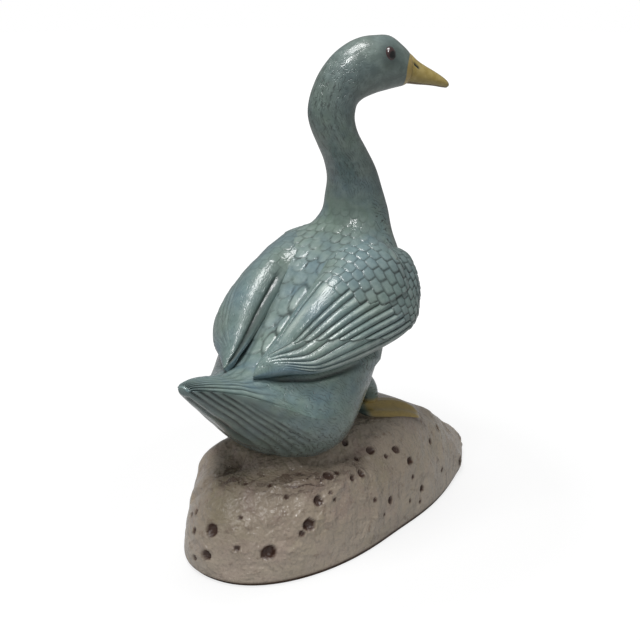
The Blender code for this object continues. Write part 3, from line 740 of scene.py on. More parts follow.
@dataclass(frozen=True)
class RockPaint:
    """Taupe oil paint on plaster with brown worked into pits and scratches, under a thinner lacquer.

    The eye sees a warm grey-brown with olive and pinkish clouds, chocolate pits with soft rims, small light
    flecks, painted light that makes the rock lighter towards its foot and its front, painted shade on the
    terrace under the goose, painted shadow round the rock's foot and beside the goose's feet, and a dull
    sheen with a few wet-looking highlights.

    Attributes:
        body, olive, rosy: tones of the paint, from cloud to cloud.
        pale_and_painted_light, pit, stain_and_shade: light flecks with painted light towards the foot and the
        front, pits and scratches, and brown staining with painted shade on the terrace under the goose and
        painted shadow round the foot and beside the feet.
        flatten: how much flatter than wide the scratches are.
        relief: depth of the bumps, in mm.
        roughness, specular, lacquer, lacquer_roughness: of the paint and of the lacquer over it.
    """

    body: str = "#B2A391"
    olive: str = "#A89C80"
    rosy: str = "#AC978B"
    pale_and_painted_light: str = "#CDC0AF"
    pit: str = "#523A2F"
    stain_and_shade: str = "#7A6656"
    flatten: float = 4.5
    relief: float = 1.4
    roughness: float = 0.5
    specular: float = 0.35
    lacquer: float = 0.9
    lacquer_roughness: float = 0.17

    def material(self) -> Material:
        """Build the node material."""
        material, tree, shader = new_material("lacquered_taupe_rock")
        where = object_place(tree)
        pit, painted_shadow, chips_and_painted_light, shaded_ledge = read_fields(tree, "pit", "painted_shadow", "chips_and_painted_light", "shaded_ledge")
        cloud, other, fine, medium, coarse = (
            noise(tree, where, cell, detail, 0.62, bend)
            for cell, detail, bend in ((34.0, 3.0, 0.0), (20.0, 4.0, 0.6), (2.2, 4.0, 0.0), (6.0, 4.0, 0.0),
                                       (14.0, 3.0, 0.15))
        )
        level = add_node(tree, "ShaderNodeMapping", {"Vector": where, "Scale": (1.0, 1.0, self.flatten)})
        slash = noise(tree, level.outputs[0], 8.0, 3.0, 0.6)
        # Light flecks of paint, plus painted light that makes the rock lighter towards its foot and its
        # front.
        chips_with_painted_light = calculate(tree, "MAXIMUM", ramp(tree, fine, 0.54, 0.74, 0.6), chips_and_painted_light)
        # Brown staining, plus painted shade on the terrace under the goose and painted shadow round the foot
        # and beside the feet.
        stain_and_shade_share = calculate(tree, "MAXIMUM", ramp(tree, medium, 0.56, 0.74, 0.7), painted_shadow)
        stain_and_shade_share = calculate(tree, "MAXIMUM", stain_and_shade_share, calculate(tree, "MULTIPLY", shaded_ledge, 0.6))
        scratched = calculate(tree, "MAXIMUM", shaded_ledge, 0.05)
        cut = calculate(tree, "MULTIPLY", ramp(tree, slash, 0.53, 0.59), scratched)
        hollow = calculate(tree, "MAXIMUM", pit, calculate(tree, "MULTIPLY", cut, 0.85))
        colour = layered(
            tree, self.body, (ramp(tree, cloud, 0.50, 0.70, 0.8), self.olive),
            (ramp(tree, other, 0.50, 0.68, 0.8), self.rosy), (chips_with_painted_light, self.pale_and_painted_light), (stain_and_shade_share, self.stain_and_shade),
            (hollow, self.pit))
        height = calculate(tree, "MULTIPLY_ADD", fine, 0.35, medium)
        height = calculate(tree, "MULTIPLY_ADD", coarse, 5.0, height)
        height = calculate(tree, "MULTIPLY_ADD", cut, -0.8, height)
        bump = bumped(tree, height, 0.85, self.relief)
        connect(tree, shader, {
            "Base Color": colour, "Normal": bump, "Coat Normal": bump, "Roughness": self.roughness,
            "Specular IOR Level": self.specular, "Coat Weight": self.lacquer,
            "Coat Roughness": self.lacquer_roughness})
        return material


@dataclass(frozen=True)
class OchrePaint:
    """Dull yellow oil paint on the bill, browned along its edges and tip, under gloss lacquer.

    Attributes:
        body, light: tones of the paint, from cloud to cloud.
        brown, line: browned edges, and dark paint in the mouth line and the nostrils.
    """

    body: str = "#A38F4E"
    light: str = "#B5A265"
    brown: str = "#6B4F33"
    line: str = "#33382F"

    def material(self) -> Material:
        """Build the node material."""
        material, tree, shader = new_material("lacquered_ochre_bill")
        edge, line = read_fields(tree, "edge", "groove")
        mottle = noise(tree, object_place(tree), 4.0, 4.0)
        colour = layered(tree, self.body, (ramp(tree, mottle, 0.4, 0.65), self.light), (edge, self.brown),
                         (line, self.line))
        connect(tree, shader, {
            "Base Color": colour, "Normal": bumped(tree, mottle, 0.3, 0.4), "Roughness": 0.45,
            "Coat Weight": 0.5, "Coat Roughness": 0.2})
        return material


@dataclass(frozen=True)
class EyePaint:
    """Brown iris with a black pupil, painted on the moulded eye under thick lacquer.

    Attributes:
        iris, rim, pupil: colours from the middle of the brown to its edge, and of the pupil.
    """

    iris: str = "#3F2A29"
    rim: str = "#2E2A29"
    pupil: str = "#0B0B0C"

    def material(self) -> Material:
        """Build the node material."""
        material, tree, shader = new_material("lacquered_brown_eye")
        pupil, rim = read_fields(tree, "pupil", "rim")
        mottle = noise(tree, object_place(tree), 1.2, 2.0)
        share = calculate(tree, "MULTIPLY", rim, mottle)
        connect(tree, shader, {
            "Base Color": layered(tree, self.iris, (share, self.rim), (pupil, self.pupil)),
            "Roughness": 0.3, "Coat Weight": 1.0, "Coat Roughness": 0.05})
        return material


BODY_SECTIONS = (
    (-148.6, 59.0, -148.0, 54.5, 3.2, 0.62, 0.00, 0.6),
    (-144.5, 60.0, -142.8, 48.6, 6.6, 0.72, 0.00, 0.8),
    (-134.0, 59.0, -131.0, 37.2, 12.2, 0.78, 0.00, 0.9),
    (-119.0, 55.0, -113.0, 21.0, 22.0, 0.80, 0.00, 0.9),
    (-103.0, 51.0, -93.0, 3.0, 32.5, 0.74, -0.05, 0.75),
    (-86.0, 55.0, -72.0, -10.5, 43.5, 0.58, -0.12, 0.4),
    (-68.0, 68.0, -49.0, -15.5, 50.5, 0.52, 0.00, 0.1),
    (-51.0, 83.0, -26.0, -13.0, 49.5, 0.53, 0.20, 0.0),
    (-37.0, 96.0, -8.0, -3.0, 47.0, 0.55, 0.30, 0.0),
    (-24.0, 106.0, 9.0, 13.0, 44.0, 0.56, 0.36, 0.0),
    (-13.0, 113.0, 26.0, 32.0, 43.0, 0.57, 0.32, 0.0),
    (-5.0, 118.0, 38.0, 58.0, 41.0, 0.55, 0.28, 0.0),
    (0.0, 123.0, 43.0, 84.0, 32.0, 0.52, 0.03, 0.0),
    (2.0, 130.0, 42.5, 107.0, 23.5, 0.50, 0.00, 0.0),
    (1.5, 139.0, 40.0, 125.0, 20.3, 0.50, 0.00, 0.0),
    (-0.5, 149.0, 33.5, 141.0, 17.3, 0.50, 0.00, 0.0),
    (-5.5, 160.0, 26.0, 155.0, 16.1, 0.50, 0.00, 0.0),
    (-12.0, 170.0, 18.0, 167.0, 15.0, 0.50, 0.00, 0.0),
    (-17.5, 180.0, 11.5, 177.5, 14.0, 0.50, 0.00, 0.0),
    (-19.8, 189.0, 9.0, 186.0, 13.7, 0.50, 0.00, 0.0),
    (-19.0, 198.0, 9.5, 192.5, 13.6, 0.50, 0.00, 0.0),
    (-16.3, 207.0, 11.0, 196.0, 13.6, 0.50, 0.00, 0.0),
    (-12.0, 216.0, 14.5, 198.6, 13.8, 0.50, 0.00, 0.0),
    (-4.5, 225.3, 19.0, 200.3, 14.2, 0.50, 0.00, 0.0),
    (4.5, 231.6, 23.5, 201.7, 14.5, 0.50, 0.00, 0.0),
    (13.5, 234.9, 28.0, 202.7, 14.5, 0.50, 0.00, 0.0),
    (22.5, 235.7, 32.5, 203.7, 14.2, 0.50, 0.00, 0.0),
    (31.2, 235.2, 36.5, 204.5, 13.2, 0.48, 0.00, 0.0),
    (38.5, 230.2, 40.0, 205.3, 11.2, 0.46, 0.00, 0.0),
    (44.0, 224.2, 42.0, 207.0, 8.8, 0.44, 0.00, 0.0),
    (44.5, 218.0, 43.5, 210.5, 4.0, 0.44, 0.00, 0.0),
)


def section_loft(sections: tuple, stations: Array, around: Array) -> Array:
    """Rings through sections: each is two half ellipses that meet at its widest level.

    Args:
        sections: rows of back point, belly point, half width, level of the widest place, egg share and
            crease, which is 0 where the widest place is round and 1 where it is an edge under an arch.
        stations: places along the body, counted in sections.
        around: angles, 0 at the back and a quarter turn at the goose's right.

    Returns:
        Rings by points by 3.
    """
    rows = through(sections, stations)
    back, belly = rows[:, 0:2], rows[:, 2:4]
    half_width, level, egg = rows[:, 4:5], rows[:, 5:6], rows[:, 6:7]
    centre = belly + (back - belly) * level
    up, side = np.cos(around)[None, :], np.sin(around)[None, :]
    arch = np.clip(up, 0.0, None) ** (1.0 + rows[:, 7:8])
    above = (back - centre)[:, None, :] * arch[..., None]
    below = (belly - centre)[:, None, :] * np.clip(-up, 0.0, None)[..., None]
    profile = centre[:, None, :] + above + below
    return place(half_width * side * (1.0 + egg * up), profile[..., 0], profile[..., 1])


@dataclass
class Trunk:
    """Tail, trunk, neck and head: one loft, cut into two pieces at a ring of the neck.

    Places along it are stations, counted in sections from the tail's tip.

    Attributes:
        seam_station: the ring where the trunk ends and the neck begins.
        twist_span: stations over which the neck twists.
        mantle_pitch: size of the back's scales near the neck and between the wings, in mm.
        mantle_span: millimetres down the back over which their size grows.
        mantle_start, mantle_end: stations over which the scales set in and fade.
        scale_lift: rise of a scale's free end, in mm.
        line_width, line_cut: half width and depth of an engraved line, in mm.
        fan_step: degrees between grooves on top of the tail.
        keel_step: millimetres between grooves under the tail.
        peck_size: length and breadth of the cell that holds one peck on the neck, in mm.
        eye: forward and rise of the eye's middle.
        eye_shade: radius of the painted shade round it, in mm.
        bill_line: forward and rise of the paint line at the bill, and how fast it bends forward.
        scapulars: (right, forward, half length, half width, lean) of the raised feather tips.
        scales: shape of the scales.
    """

    seam_station: float = 13.6
    twist_span: tuple[float, float] = (13.0, 21.5)
    mantle_pitch: tuple[float, float] = (6.2, 10.5)
    mantle_span: tuple[float, float] = (5.0, 75.0)
    mantle_start: tuple[float, float] = (3.4, 4.6)
    mantle_end: tuple[float, float] = (12.3, 13.6)
    scale_lift: float = 0.6
    line_width: float = 0.38
    line_cut: float = 0.35
    fan_step: float = 6.0
    keel_step: float = 2.7
    peck_size: tuple[float, float] = (7.0, 4.2)
    eye: tuple[float, float] = (27.2, 225.4)
    eye_shade: float = 6.6
    bill_line: tuple[float, float, float] = (38.4, 215.0, 0.04)
    scapulars: tuple = (
        (5.4, -48.5, 7.5, 4.2, -0.05),
        (4.8, -62.5, 6.0, 3.4, 0.0),
        (2.4, -73.5, 6.5, 3.8, 0.15),
        (7.6, -77.0, 5.0, 3.0, 0.0),
    )
    scales: ScaleField = field(default_factory=ScaleField)

    def back_path(self, stations: Array) -> Array:
        """Distance along the back from the tail's tip to each station."""
        fine = np.linspace(0.0, len(BODY_SECTIONS) - 1.0, 1200)
        line = section_loft(BODY_SECTIONS, fine, np.zeros(1))[:, 0]
        return np.interp(stations, fine, path_length(line))

    def carve(self, stations: Array, around: Array) -> tuple[Array, Fields, Array]:
        """Carve scales, tail feathers and brushed hair into the smooth rings.

        Args:
            stations: places along the body.
            around: angles round it.

        Returns:
            The carved and twisted grid, its fields, and its surface coordinates.
        """
        smooth = section_loft(BODY_SECTIONS, stations, around)
        path = np.broadcast_to(self.back_path(stations)[:, None], smooth.shape[:2])
        arc = ring_length(smooth)
        arc = np.where(around[None, :] > math.pi, arc - arc[:, -1:], arc)
        station = np.broadcast_to(stations[:, None], path.shape)
        facing_up = np.broadcast_to(np.cos(around)[None, :], path.shape)
        wobble = np.stack([value_noise(smooth, 15.0, seed) for seed in (1, 2)])
        upper = smooth_step(-0.02, 0.10, facing_up + 0.34 * smooth_step(1.5, 4.2, station))
        on_trunk = fade(13.0, 15.0, station)
        on_left = smooth_step(-1.0, 1.0, smooth[..., 0])
        away = self._wing_gap(smooth, station, facing_up)
        crease = VALLEY.crease(smooth, away) * (1.0 - 0.4 * on_left)

        mantle, mantle_edge, chance = self._mantle(path + 1.8 * wobble[0], arc + 1.6 * wobble[1])
        mantle = mantle * (0.55 + 0.9 * chance)
        mantle_share = window(self.mantle_start, self.mantle_end, station) * smooth_step(0.25, 0.5, facing_up)
        mantle_share = mantle_share * (0.45 + 0.55 * fade(10.5, 12.5, station))
        beside_tail = smooth_step(12.0, 18.0, np.abs(smooth[..., 0])) * fade(6.0, 7.4, station)
        mantle_share = mantle_share * (1.0 - beside_tail)
        plume, plume_edge = self._scapulars(smooth)
        fan_edge, fan_height = self._tail_top(smooth, wobble[0])
        keel_edge, keel_height, strand = self._tail_under(smooth, wobble[1])
        fan_share = window((0.2, 0.7), (3.4, 4.8), station) * upper
        under_share = window((0.1, 0.5), (3.6, 5.6), station) * (1.0 - upper)

        patchy = np.clip(0.8 + 0.5 * value_noise(smooth, 7.0, 6), 0.2, 1.0)
        broken = np.clip(0.75 + 0.8 * value_noise(smooth, 5.0, 8), 0.15, 1.0)
        groove = np.max((
            line_depth(mantle_edge, self.line_width) * mantle_share * broken * (plume < 0.05),
            line_depth(fan_edge, self.line_width * 1.3) * fan_share * patchy,
            line_depth(keel_edge, self.line_width * 1.4) * under_share * patchy,
            line_depth(plume_edge, self.line_width * 1.4),
        ), axis=0)
        edges = ((mantle_edge, 0.5 * mantle_share), (fan_edge, fan_share), (keel_edge, 1.6 * under_share))
        halo = 0.13 * np.max([line_depth(edge, 1.4) * share for edge, share in edges], axis=0)
        lift = (mantle - 0.5) * mantle_share * self.scale_lift * 0.8
        lift = lift + (fan_height - 0.5) * fan_share * 0.8 + (keel_height - 0.5) * under_share * 0.7
        lift = lift + 0.35 * value_noise(smooth, 9.0, 5) * on_trunk + 0.3 * value_noise(smooth, 22.0, 7)
        lift = np.maximum(lift, 2.0 * plume - 0.5)
        lift = lift - groove * self.line_cut - 1.3 * crease
        lift = lift + VALLEY.lift(smooth, away, on_left)

        flank = smooth_step(5.6, 7.6, station)
        tail_hair = window((3.0, 4.4), (8.0, 10.5), station) * (1.0 - mantle_share)
        tail_hair = tail_hair * (0.5 + 0.5 * (1.0 - upper)) * (1.0 - 0.5 * flank)
        neck_hair = 0.5 * (1.0 - on_trunk) * (1.0 - 0.7 * smooth_step(22.0, 24.5, station))
        # Painted highlight: light paint on the scale ends, the tail's ribs and the raised feather tips by the
        # right wing.
        ridge_highlight = mantle * mantle_share * 0.3 + fan_height**3 * fan_share * 0.35
        ridge_highlight = ridge_highlight + keel_height**3 * under_share * 0.2 + plume**2 * 1.2
        # Painted shade: duller, darker paint on the underside of the trunk and tail, and on the neck and
        # head.
        drab_and_shade = 0.25 + 0.35 * (1.0 - upper) * on_trunk + 0.4 * smooth_step(13.0, 16.0, station)
        shade = np.maximum(groove * (0.75 + 0.25 * wobble[0]), 0.9 * crease) + halo
        fields = {
            "groove": np.clip(shade, 0.0, 1.0),
            "ridge_highlight": np.clip(ridge_highlight, 0.0, 1.0),
            "hair": np.clip(tail_hair + neck_hair, 0.0, 1.0),
            "strokes": flank * fade(0.35, 0.6, facing_up) * fade(13.5, 15.0, station),
            "strand": np.where(on_trunk > 0.5, strand, arc),
            "ochre": self._bill_side(smooth) * smooth_step(26.0, 27.0, station),
            "tint": np.clip(0.3 + 0.6 * wobble[1] + 0.3 * value_noise(smooth, 5.0, 9), 0.0, 1.0),
            "drab_and_shade": np.clip(drab_and_shade + 0.15 * smooth_step(18.0, 23.0, station), 0.0, 1.0),
        }
        marks = self._neck_marks(station, path, arc)
        fields["groove"] = np.maximum(fields["groove"], marks)
        # Painted shade of the eye sockets, in a soft ring round each eye.
        fields["groove"] = np.clip(fields["groove"] + 0.6 * self._eye_socket_shade(smooth, station), 0.0, 1.0)
        centre = smooth.mean(axis=1, keepdims=True)
        carved = smooth + outward_normals(smooth, centre) * lift[..., None]
        return twist(carved, smooth_step(*self.twist_span, stations)), fields, np.stack([path, arc], axis=-1)

    def _wing_gap(self, smooth: Array, station: Array, facing_up: Array) -> Array:
        """Find how far the back is from the nearer wing.

        Args:
            smooth: the smooth rings.
            station: place along the body of each point.
            facing_up: 1 on the back, -1 on the belly.

        Returns:
            Distances in mm.
        """
        outer, normals = Wing().sample()
        wanted = (station > 4.0) & (station < 12.8) & (facing_up > 0.0)
        mirrored = np.array([-1.0, 1.0, 1.0])
        return np.minimum(
            gap_to(smooth, outer, normals, wanted & (smooth[..., 0] < 0.0)),
            gap_to(smooth, outer * mirrored, normals * mirrored, wanted & (smooth[..., 0] >= 0.0)),
        )

    def _scapulars(self, smooth: Array) -> tuple[Array, Array]:
        """Raised feather tips beside the right wing, each an ellipse that rises towards its free end.

        Args:
            smooth: the smooth rings.

        Returns:
            Height 0 to 1 and distance to the tips' edges in mm.
        """
        right, forward = -smooth[..., 0], -smooth[..., 1]
        height, edge = np.zeros(right.shape), np.full(right.shape, FAR)
        on_top = smooth[..., 2] - ROCK_HEIGHT > 40.0
        for centre_right, centre_forward, length, width, lean in self.scapulars:
            ahead, aside = centre_forward - forward, right - centre_right
            along = ahead * math.cos(lean) + aside * math.sin(lean)
            across = aside * math.cos(lean) - ahead * math.sin(lean)
            norm = np.sqrt((along / length) ** 2 + (across / width) ** 2) + 1e-6
            rise = np.clip(0.55 + 0.45 * along / length, 0.0, 1.0) * np.sqrt(np.clip(1.0 - norm**4, 0.0, 1.0))
            height = np.where((norm < 1.0) & on_top, np.maximum(height, rise), height)
            edge = np.where(on_top, np.minimum(edge, np.abs(norm - 1.0) * width), edge)
        return height, edge

    def _bill_side(self, smooth: Array) -> Array:
        """Find the bill's side of the paint line, a parabola that runs forward as it rises.

        Args:
            smooth: the smooth rings.

        Returns:
            1 on the bill's side, 0 on the head's.
        """
        forward, low, bend = self.bill_line
        rise = smooth[..., 2] - ROCK_HEIGHT
        line = forward + bend * np.clip(rise - low, 0.0, None) ** 2
        return smooth_step(-0.25, 0.25, -smooth[..., 1] - line)

    def _eye_socket_shade(self, smooth: Array, station: Array) -> Array:
        """Painted shade of the eye socket, in a soft ring round each eye: exp(-(distance / radius)^4).

        Args:
            smooth: the smooth rings.
            station: place along the body of each point.

        Returns:
            Darkness, 0 to 1.
        """
        forward = -smooth[..., 1] - self.eye[0]
        rise = smooth[..., 2] - ROCK_HEIGHT - self.eye[1]
        ring = np.exp(-((np.hypot(forward, rise / 1.15) / self.eye_shade) ** 4))
        return ring * (station > 24.0) * (np.abs(smooth[..., 0]) > 7.0)

    def _mantle(self, path: Array, arc: Array) -> tuple[Array, ...]:
        """Scales of the back: rows are the integral of path / pitch, from the neck down to the tail.

        Args:
            path: millimetres along the back from the tail's tip.
            arc: millimetres round the body from the back's middle.

        Returns:
            Height 0 to 1, distance to the nearest edge in mm, and a random value for each scale.
        """
        neck = self.back_path(np.array([13.5]))[0]
        below = np.linspace(0.0, neck, 400)
        growth = (self.mantle_pitch[1] - self.mantle_pitch[0]) * smooth_step(*self.mantle_span, below)
        pitch = self.mantle_pitch[0] + growth
        rows = np.concatenate([[0.0], np.cumsum(np.diff(below) / pitch[1:])])
        down = neck - path
        here_pitch = np.interp(down, below, pitch)
        height, edge, _, chance = self.scales.measure(
            np.interp(down, below, rows) + 2.0, arc / here_pitch, here_pitch, here_pitch)
        return height, edge, chance

    def _tail_top(self, smooth: Array, wobble: Array) -> tuple[Array, Array]:
        """Long feathers that fan out from a point behind the tail's tip.

        Args:
            smooth: the smooth rings.
            wobble: noise that bends the feathers.

        Returns:
            Distance to the nearest gap in mm, and height 0 to 1.
        """
        right, ahead = -smooth[..., 0], -smooth[..., 1] - (BODY_SECTIONS[0][0] - 6.0)
        share = np.mod(np.degrees(np.arctan2(right, ahead)) / self.fan_step + 0.2 * wobble, 1.0)
        gap = np.minimum(share, 1.0 - share) * math.radians(self.fan_step) * np.hypot(right, ahead)
        return gap, 1.0 - np.abs(2.0 * share - 1.0) ** 2

    def _tail_under(self, smooth: Array, wobble: Array) -> tuple[Array, ...]:
        """Grooves that run parallel to the keel line under the tail.

        Args:
            smooth: the smooth rings.
            wobble: noise that bends the grooves.

        Returns:
            Distance to the nearest groove, height 0 to 1 between them, and millimetres away from the keel.
        """
        tip, root = np.array(BODY_SECTIONS[0][2:4]), np.array(BODY_SECTIONS[4][2:4])
        keel = (root - tip) / np.linalg.norm(root - tip)
        forward, rise = -smooth[..., 1] - tip[0], smooth[..., 2] - ROCK_HEIGHT - tip[1]
        away = forward * -keel[1] + rise * keel[0]
        share = np.mod(away / self.keel_step + 0.15 * wobble, 1.0)
        height = 1.0 - np.abs(2.0 * share - 1.0) ** 2
        return np.minimum(share, 1.0 - share) * self.keel_step, height, away

    def _neck_marks(self, station: Array, path: Array, arc: Array) -> Array:
        """Short dark pecks down the back of the neck, one or none in each cell of a stretched grid.

        Args:
            station: place along the body of each point.
            path: millimetres along the back.
            arc: millimetres round the body from the back's middle.

        Returns:
            Darkness, 0 to 1.
        """
        length, breadth = self.peck_size
        cell = np.stack([path / length, arc / breadth, np.zeros(path.shape)], axis=-1)
        low = np.floor(cell)
        chance, turn = cell_value(low, 11), cell_value(low, 12)
        offset = cell - low - 0.5 - 0.2 * (np.stack([chance, turn, turn], axis=-1) - 0.5)
        along = offset[..., 0] * length
        aside = offset[..., 1] * breadth + (turn - 0.5) * 0.7 * offset[..., 0] * 4.0
        aside = aside + 0.25 * np.sin(along * 1.9 + 6.0 * chance)
        peck = np.exp(-((along / (1.6 + 1.8 * turn)) ** 2) - (aside / 0.48) ** 2)
        share = window((14.5, 16.0), (21.5, 24.0), station)
        return peck * (chance > 0.30) * share * fade(16.0, 26.0, np.abs(arc))

    def build(self, paint: Material) -> list[Piece]:
        """Make the trunk and the neck with the head, joined at the same ring.

        Args:
            paint: the finish.

        Returns:
            The two pieces.
        """
        last = len(BODY_SECTIONS) - 1.0
        pieces = []
        for name, low, high, rings, points in (
            ("trunk_and_tail", 0.0, self.seam_station, 290, 328),
            ("neck_and_head", self.seam_station, last, 300, 200),
        ):
            around = np.linspace(0.0, 2.0 * math.pi, points + 1)
            grid, fields, flow = self.carve(np.linspace(low, high, rings), around)
            pieces.append(Surface(name, grid, fields, flow, True).to_object(paint))
        return pieces


@dataclass
class Bill:
    """Short tapering bill with a mouth line and nostrils.

    Attributes:
        sections: rows as section_loft takes them, from inside the head to the tip.
        section_step: usual distance between sections in mm.
        mouth_level: angle round the bill, in shares of half a turn from the culmen, of the mouth line.
        mouth_width: half width of that line in mm.
        nostril: station and angle share of the nostril's middle.
        nostril_size: its half length and half height in mm.
    """

    sections: tuple = (
        (40.0, 227.0, 38.0, 206.5, 8.3, 0.45, 0.0, 0.0),
        (44.5, 224.5, 43.0, 206.2, 8.2, 0.42, 0.0, 0.0),
        (49.5, 220.0, 49.0, 205.4, 7.6, 0.40, 0.0, 0.0),
        (55.0, 216.4, 55.0, 204.8, 7.0, 0.40, 0.0, 0.0),
        (60.5, 213.2, 60.5, 204.0, 6.3, 0.42, 0.0, 0.0),
        (65.5, 210.0, 65.5, 203.0, 5.4, 0.45, 0.0, 0.0),
        (69.0, 207.2, 68.8, 202.6, 3.9, 0.50, 0.0, 0.0),
        (70.6, 205.0, 70.4, 203.6, 1.2, 0.50, 0.0, 0.0),
    )
    section_step: float = 5.3
    mouth_level: float = 0.80
    mouth_width: float = 0.5
    nostril: tuple[float, float] = (1.5, 0.33)
    nostril_size: tuple[float, float] = (1.9, 0.8)

    def build(self, paint: Material) -> Piece:
        """Make the bill on the turned head.

        Args:
            paint: the finish.

        Returns:
            The piece.
        """
        stations = np.linspace(0.0, len(self.sections) - 1.0, 110)
        around = np.linspace(0.0, 2.0 * math.pi, 121)
        smooth = section_loft(self.sections, stations, around)
        station = np.broadcast_to(stations[:, None], smooth.shape[:2])
        share = np.abs(np.where(around > math.pi, 2.0 * math.pi - around, around))[None, :] / math.pi
        size = ring_length(smooth)[:, -1:]
        mouth = line_depth((share - self.mouth_level) * size / 2.0, self.mouth_width)
        mouth = mouth * fade(6.3, 7.0, station)
        aside = (share - self.nostril[1]) * size / 2.0
        ahead = (station - self.nostril[0]) * self.section_step
        length, height = self.nostril_size
        slit = np.exp(-((ahead / length) ** 4) - ((aside - ahead * 0.1) / height) ** 4)
        lift = -0.5 * mouth - 0.8 * slit
        centre = smooth.mean(axis=1, keepdims=True)
        grid = twist(smooth + outward_normals(smooth, centre) * lift[..., None], np.ones(len(stations)))
        below = smooth_step(self.mouth_level - 0.03, self.mouth_level + 0.05, share)
        fields = {
            "edge": np.clip(0.75 * below + 0.8 * smooth_step(6.0, 7.0, station), 0.0, 1.0),
            "groove": np.clip(0.6 * mouth + 1.3 * slit, 0.0, 1.0),
        }
        flow = np.stack([station * 5.0, ring_length(smooth)], axis=-1)
        return Surface("bill", grid, fields, flow).to_object(paint)


@dataclass
class Eye:
    """Moulded eye: a flattened dome, taller than it is wide, with its pupil set forward.

    Attributes:
        centre: (right, forward, rise) before the head is turned.
        radii: outward, lengthwise and upright radius.
        pupil: forward and upward offset of the pupil, and its radius.
    """

    centre: tuple[float, float, float] = (10.4, 27.2, 225.0)
    radii: tuple[float, float, float] = (4.2, 4.2, 5.4)
    pupil: tuple[float, float, float] = (1.1, 0.7, 2.3)

    def build(self, side: Side, paint: Material) -> Piece:
        """Make one eye.

        Args:
            side: the side it is on.
            paint: the finish.

        Returns:
            The piece.
        """
        polar = np.linspace(0.02, math.pi - 0.02, 60)[:, None]
        around = np.linspace(0.0, 2.0 * math.pi, 65)[None, :]
        right, forward, rise = self.centre
        ahead = self.radii[1] * np.sin(polar) * np.cos(around)
        up = self.radii[2] * np.sin(polar) * np.sin(around)
        out = self.radii[0] * np.cos(polar) + 0.0 * around
        grid = place(side.value * (right + out), forward + ahead, rise + up)
        grid = twist(grid, np.ones(grid.shape[0]))
        away = np.hypot(ahead - self.pupil[0], up - self.pupil[1])
        fields = {
            "pupil": 1.0 - smooth_step(self.pupil[2] - 0.3, self.pupil[2] + 0.3, away),
            "rim": smooth_step(0.7, 1.0, np.hypot(ahead / self.radii[1], up / self.radii[2])),
        }
        flow = np.stack([ahead, up], axis=-1)
        return Surface(f"{side.name.lower()}_eye", grid, fields, flow).to_object(paint)


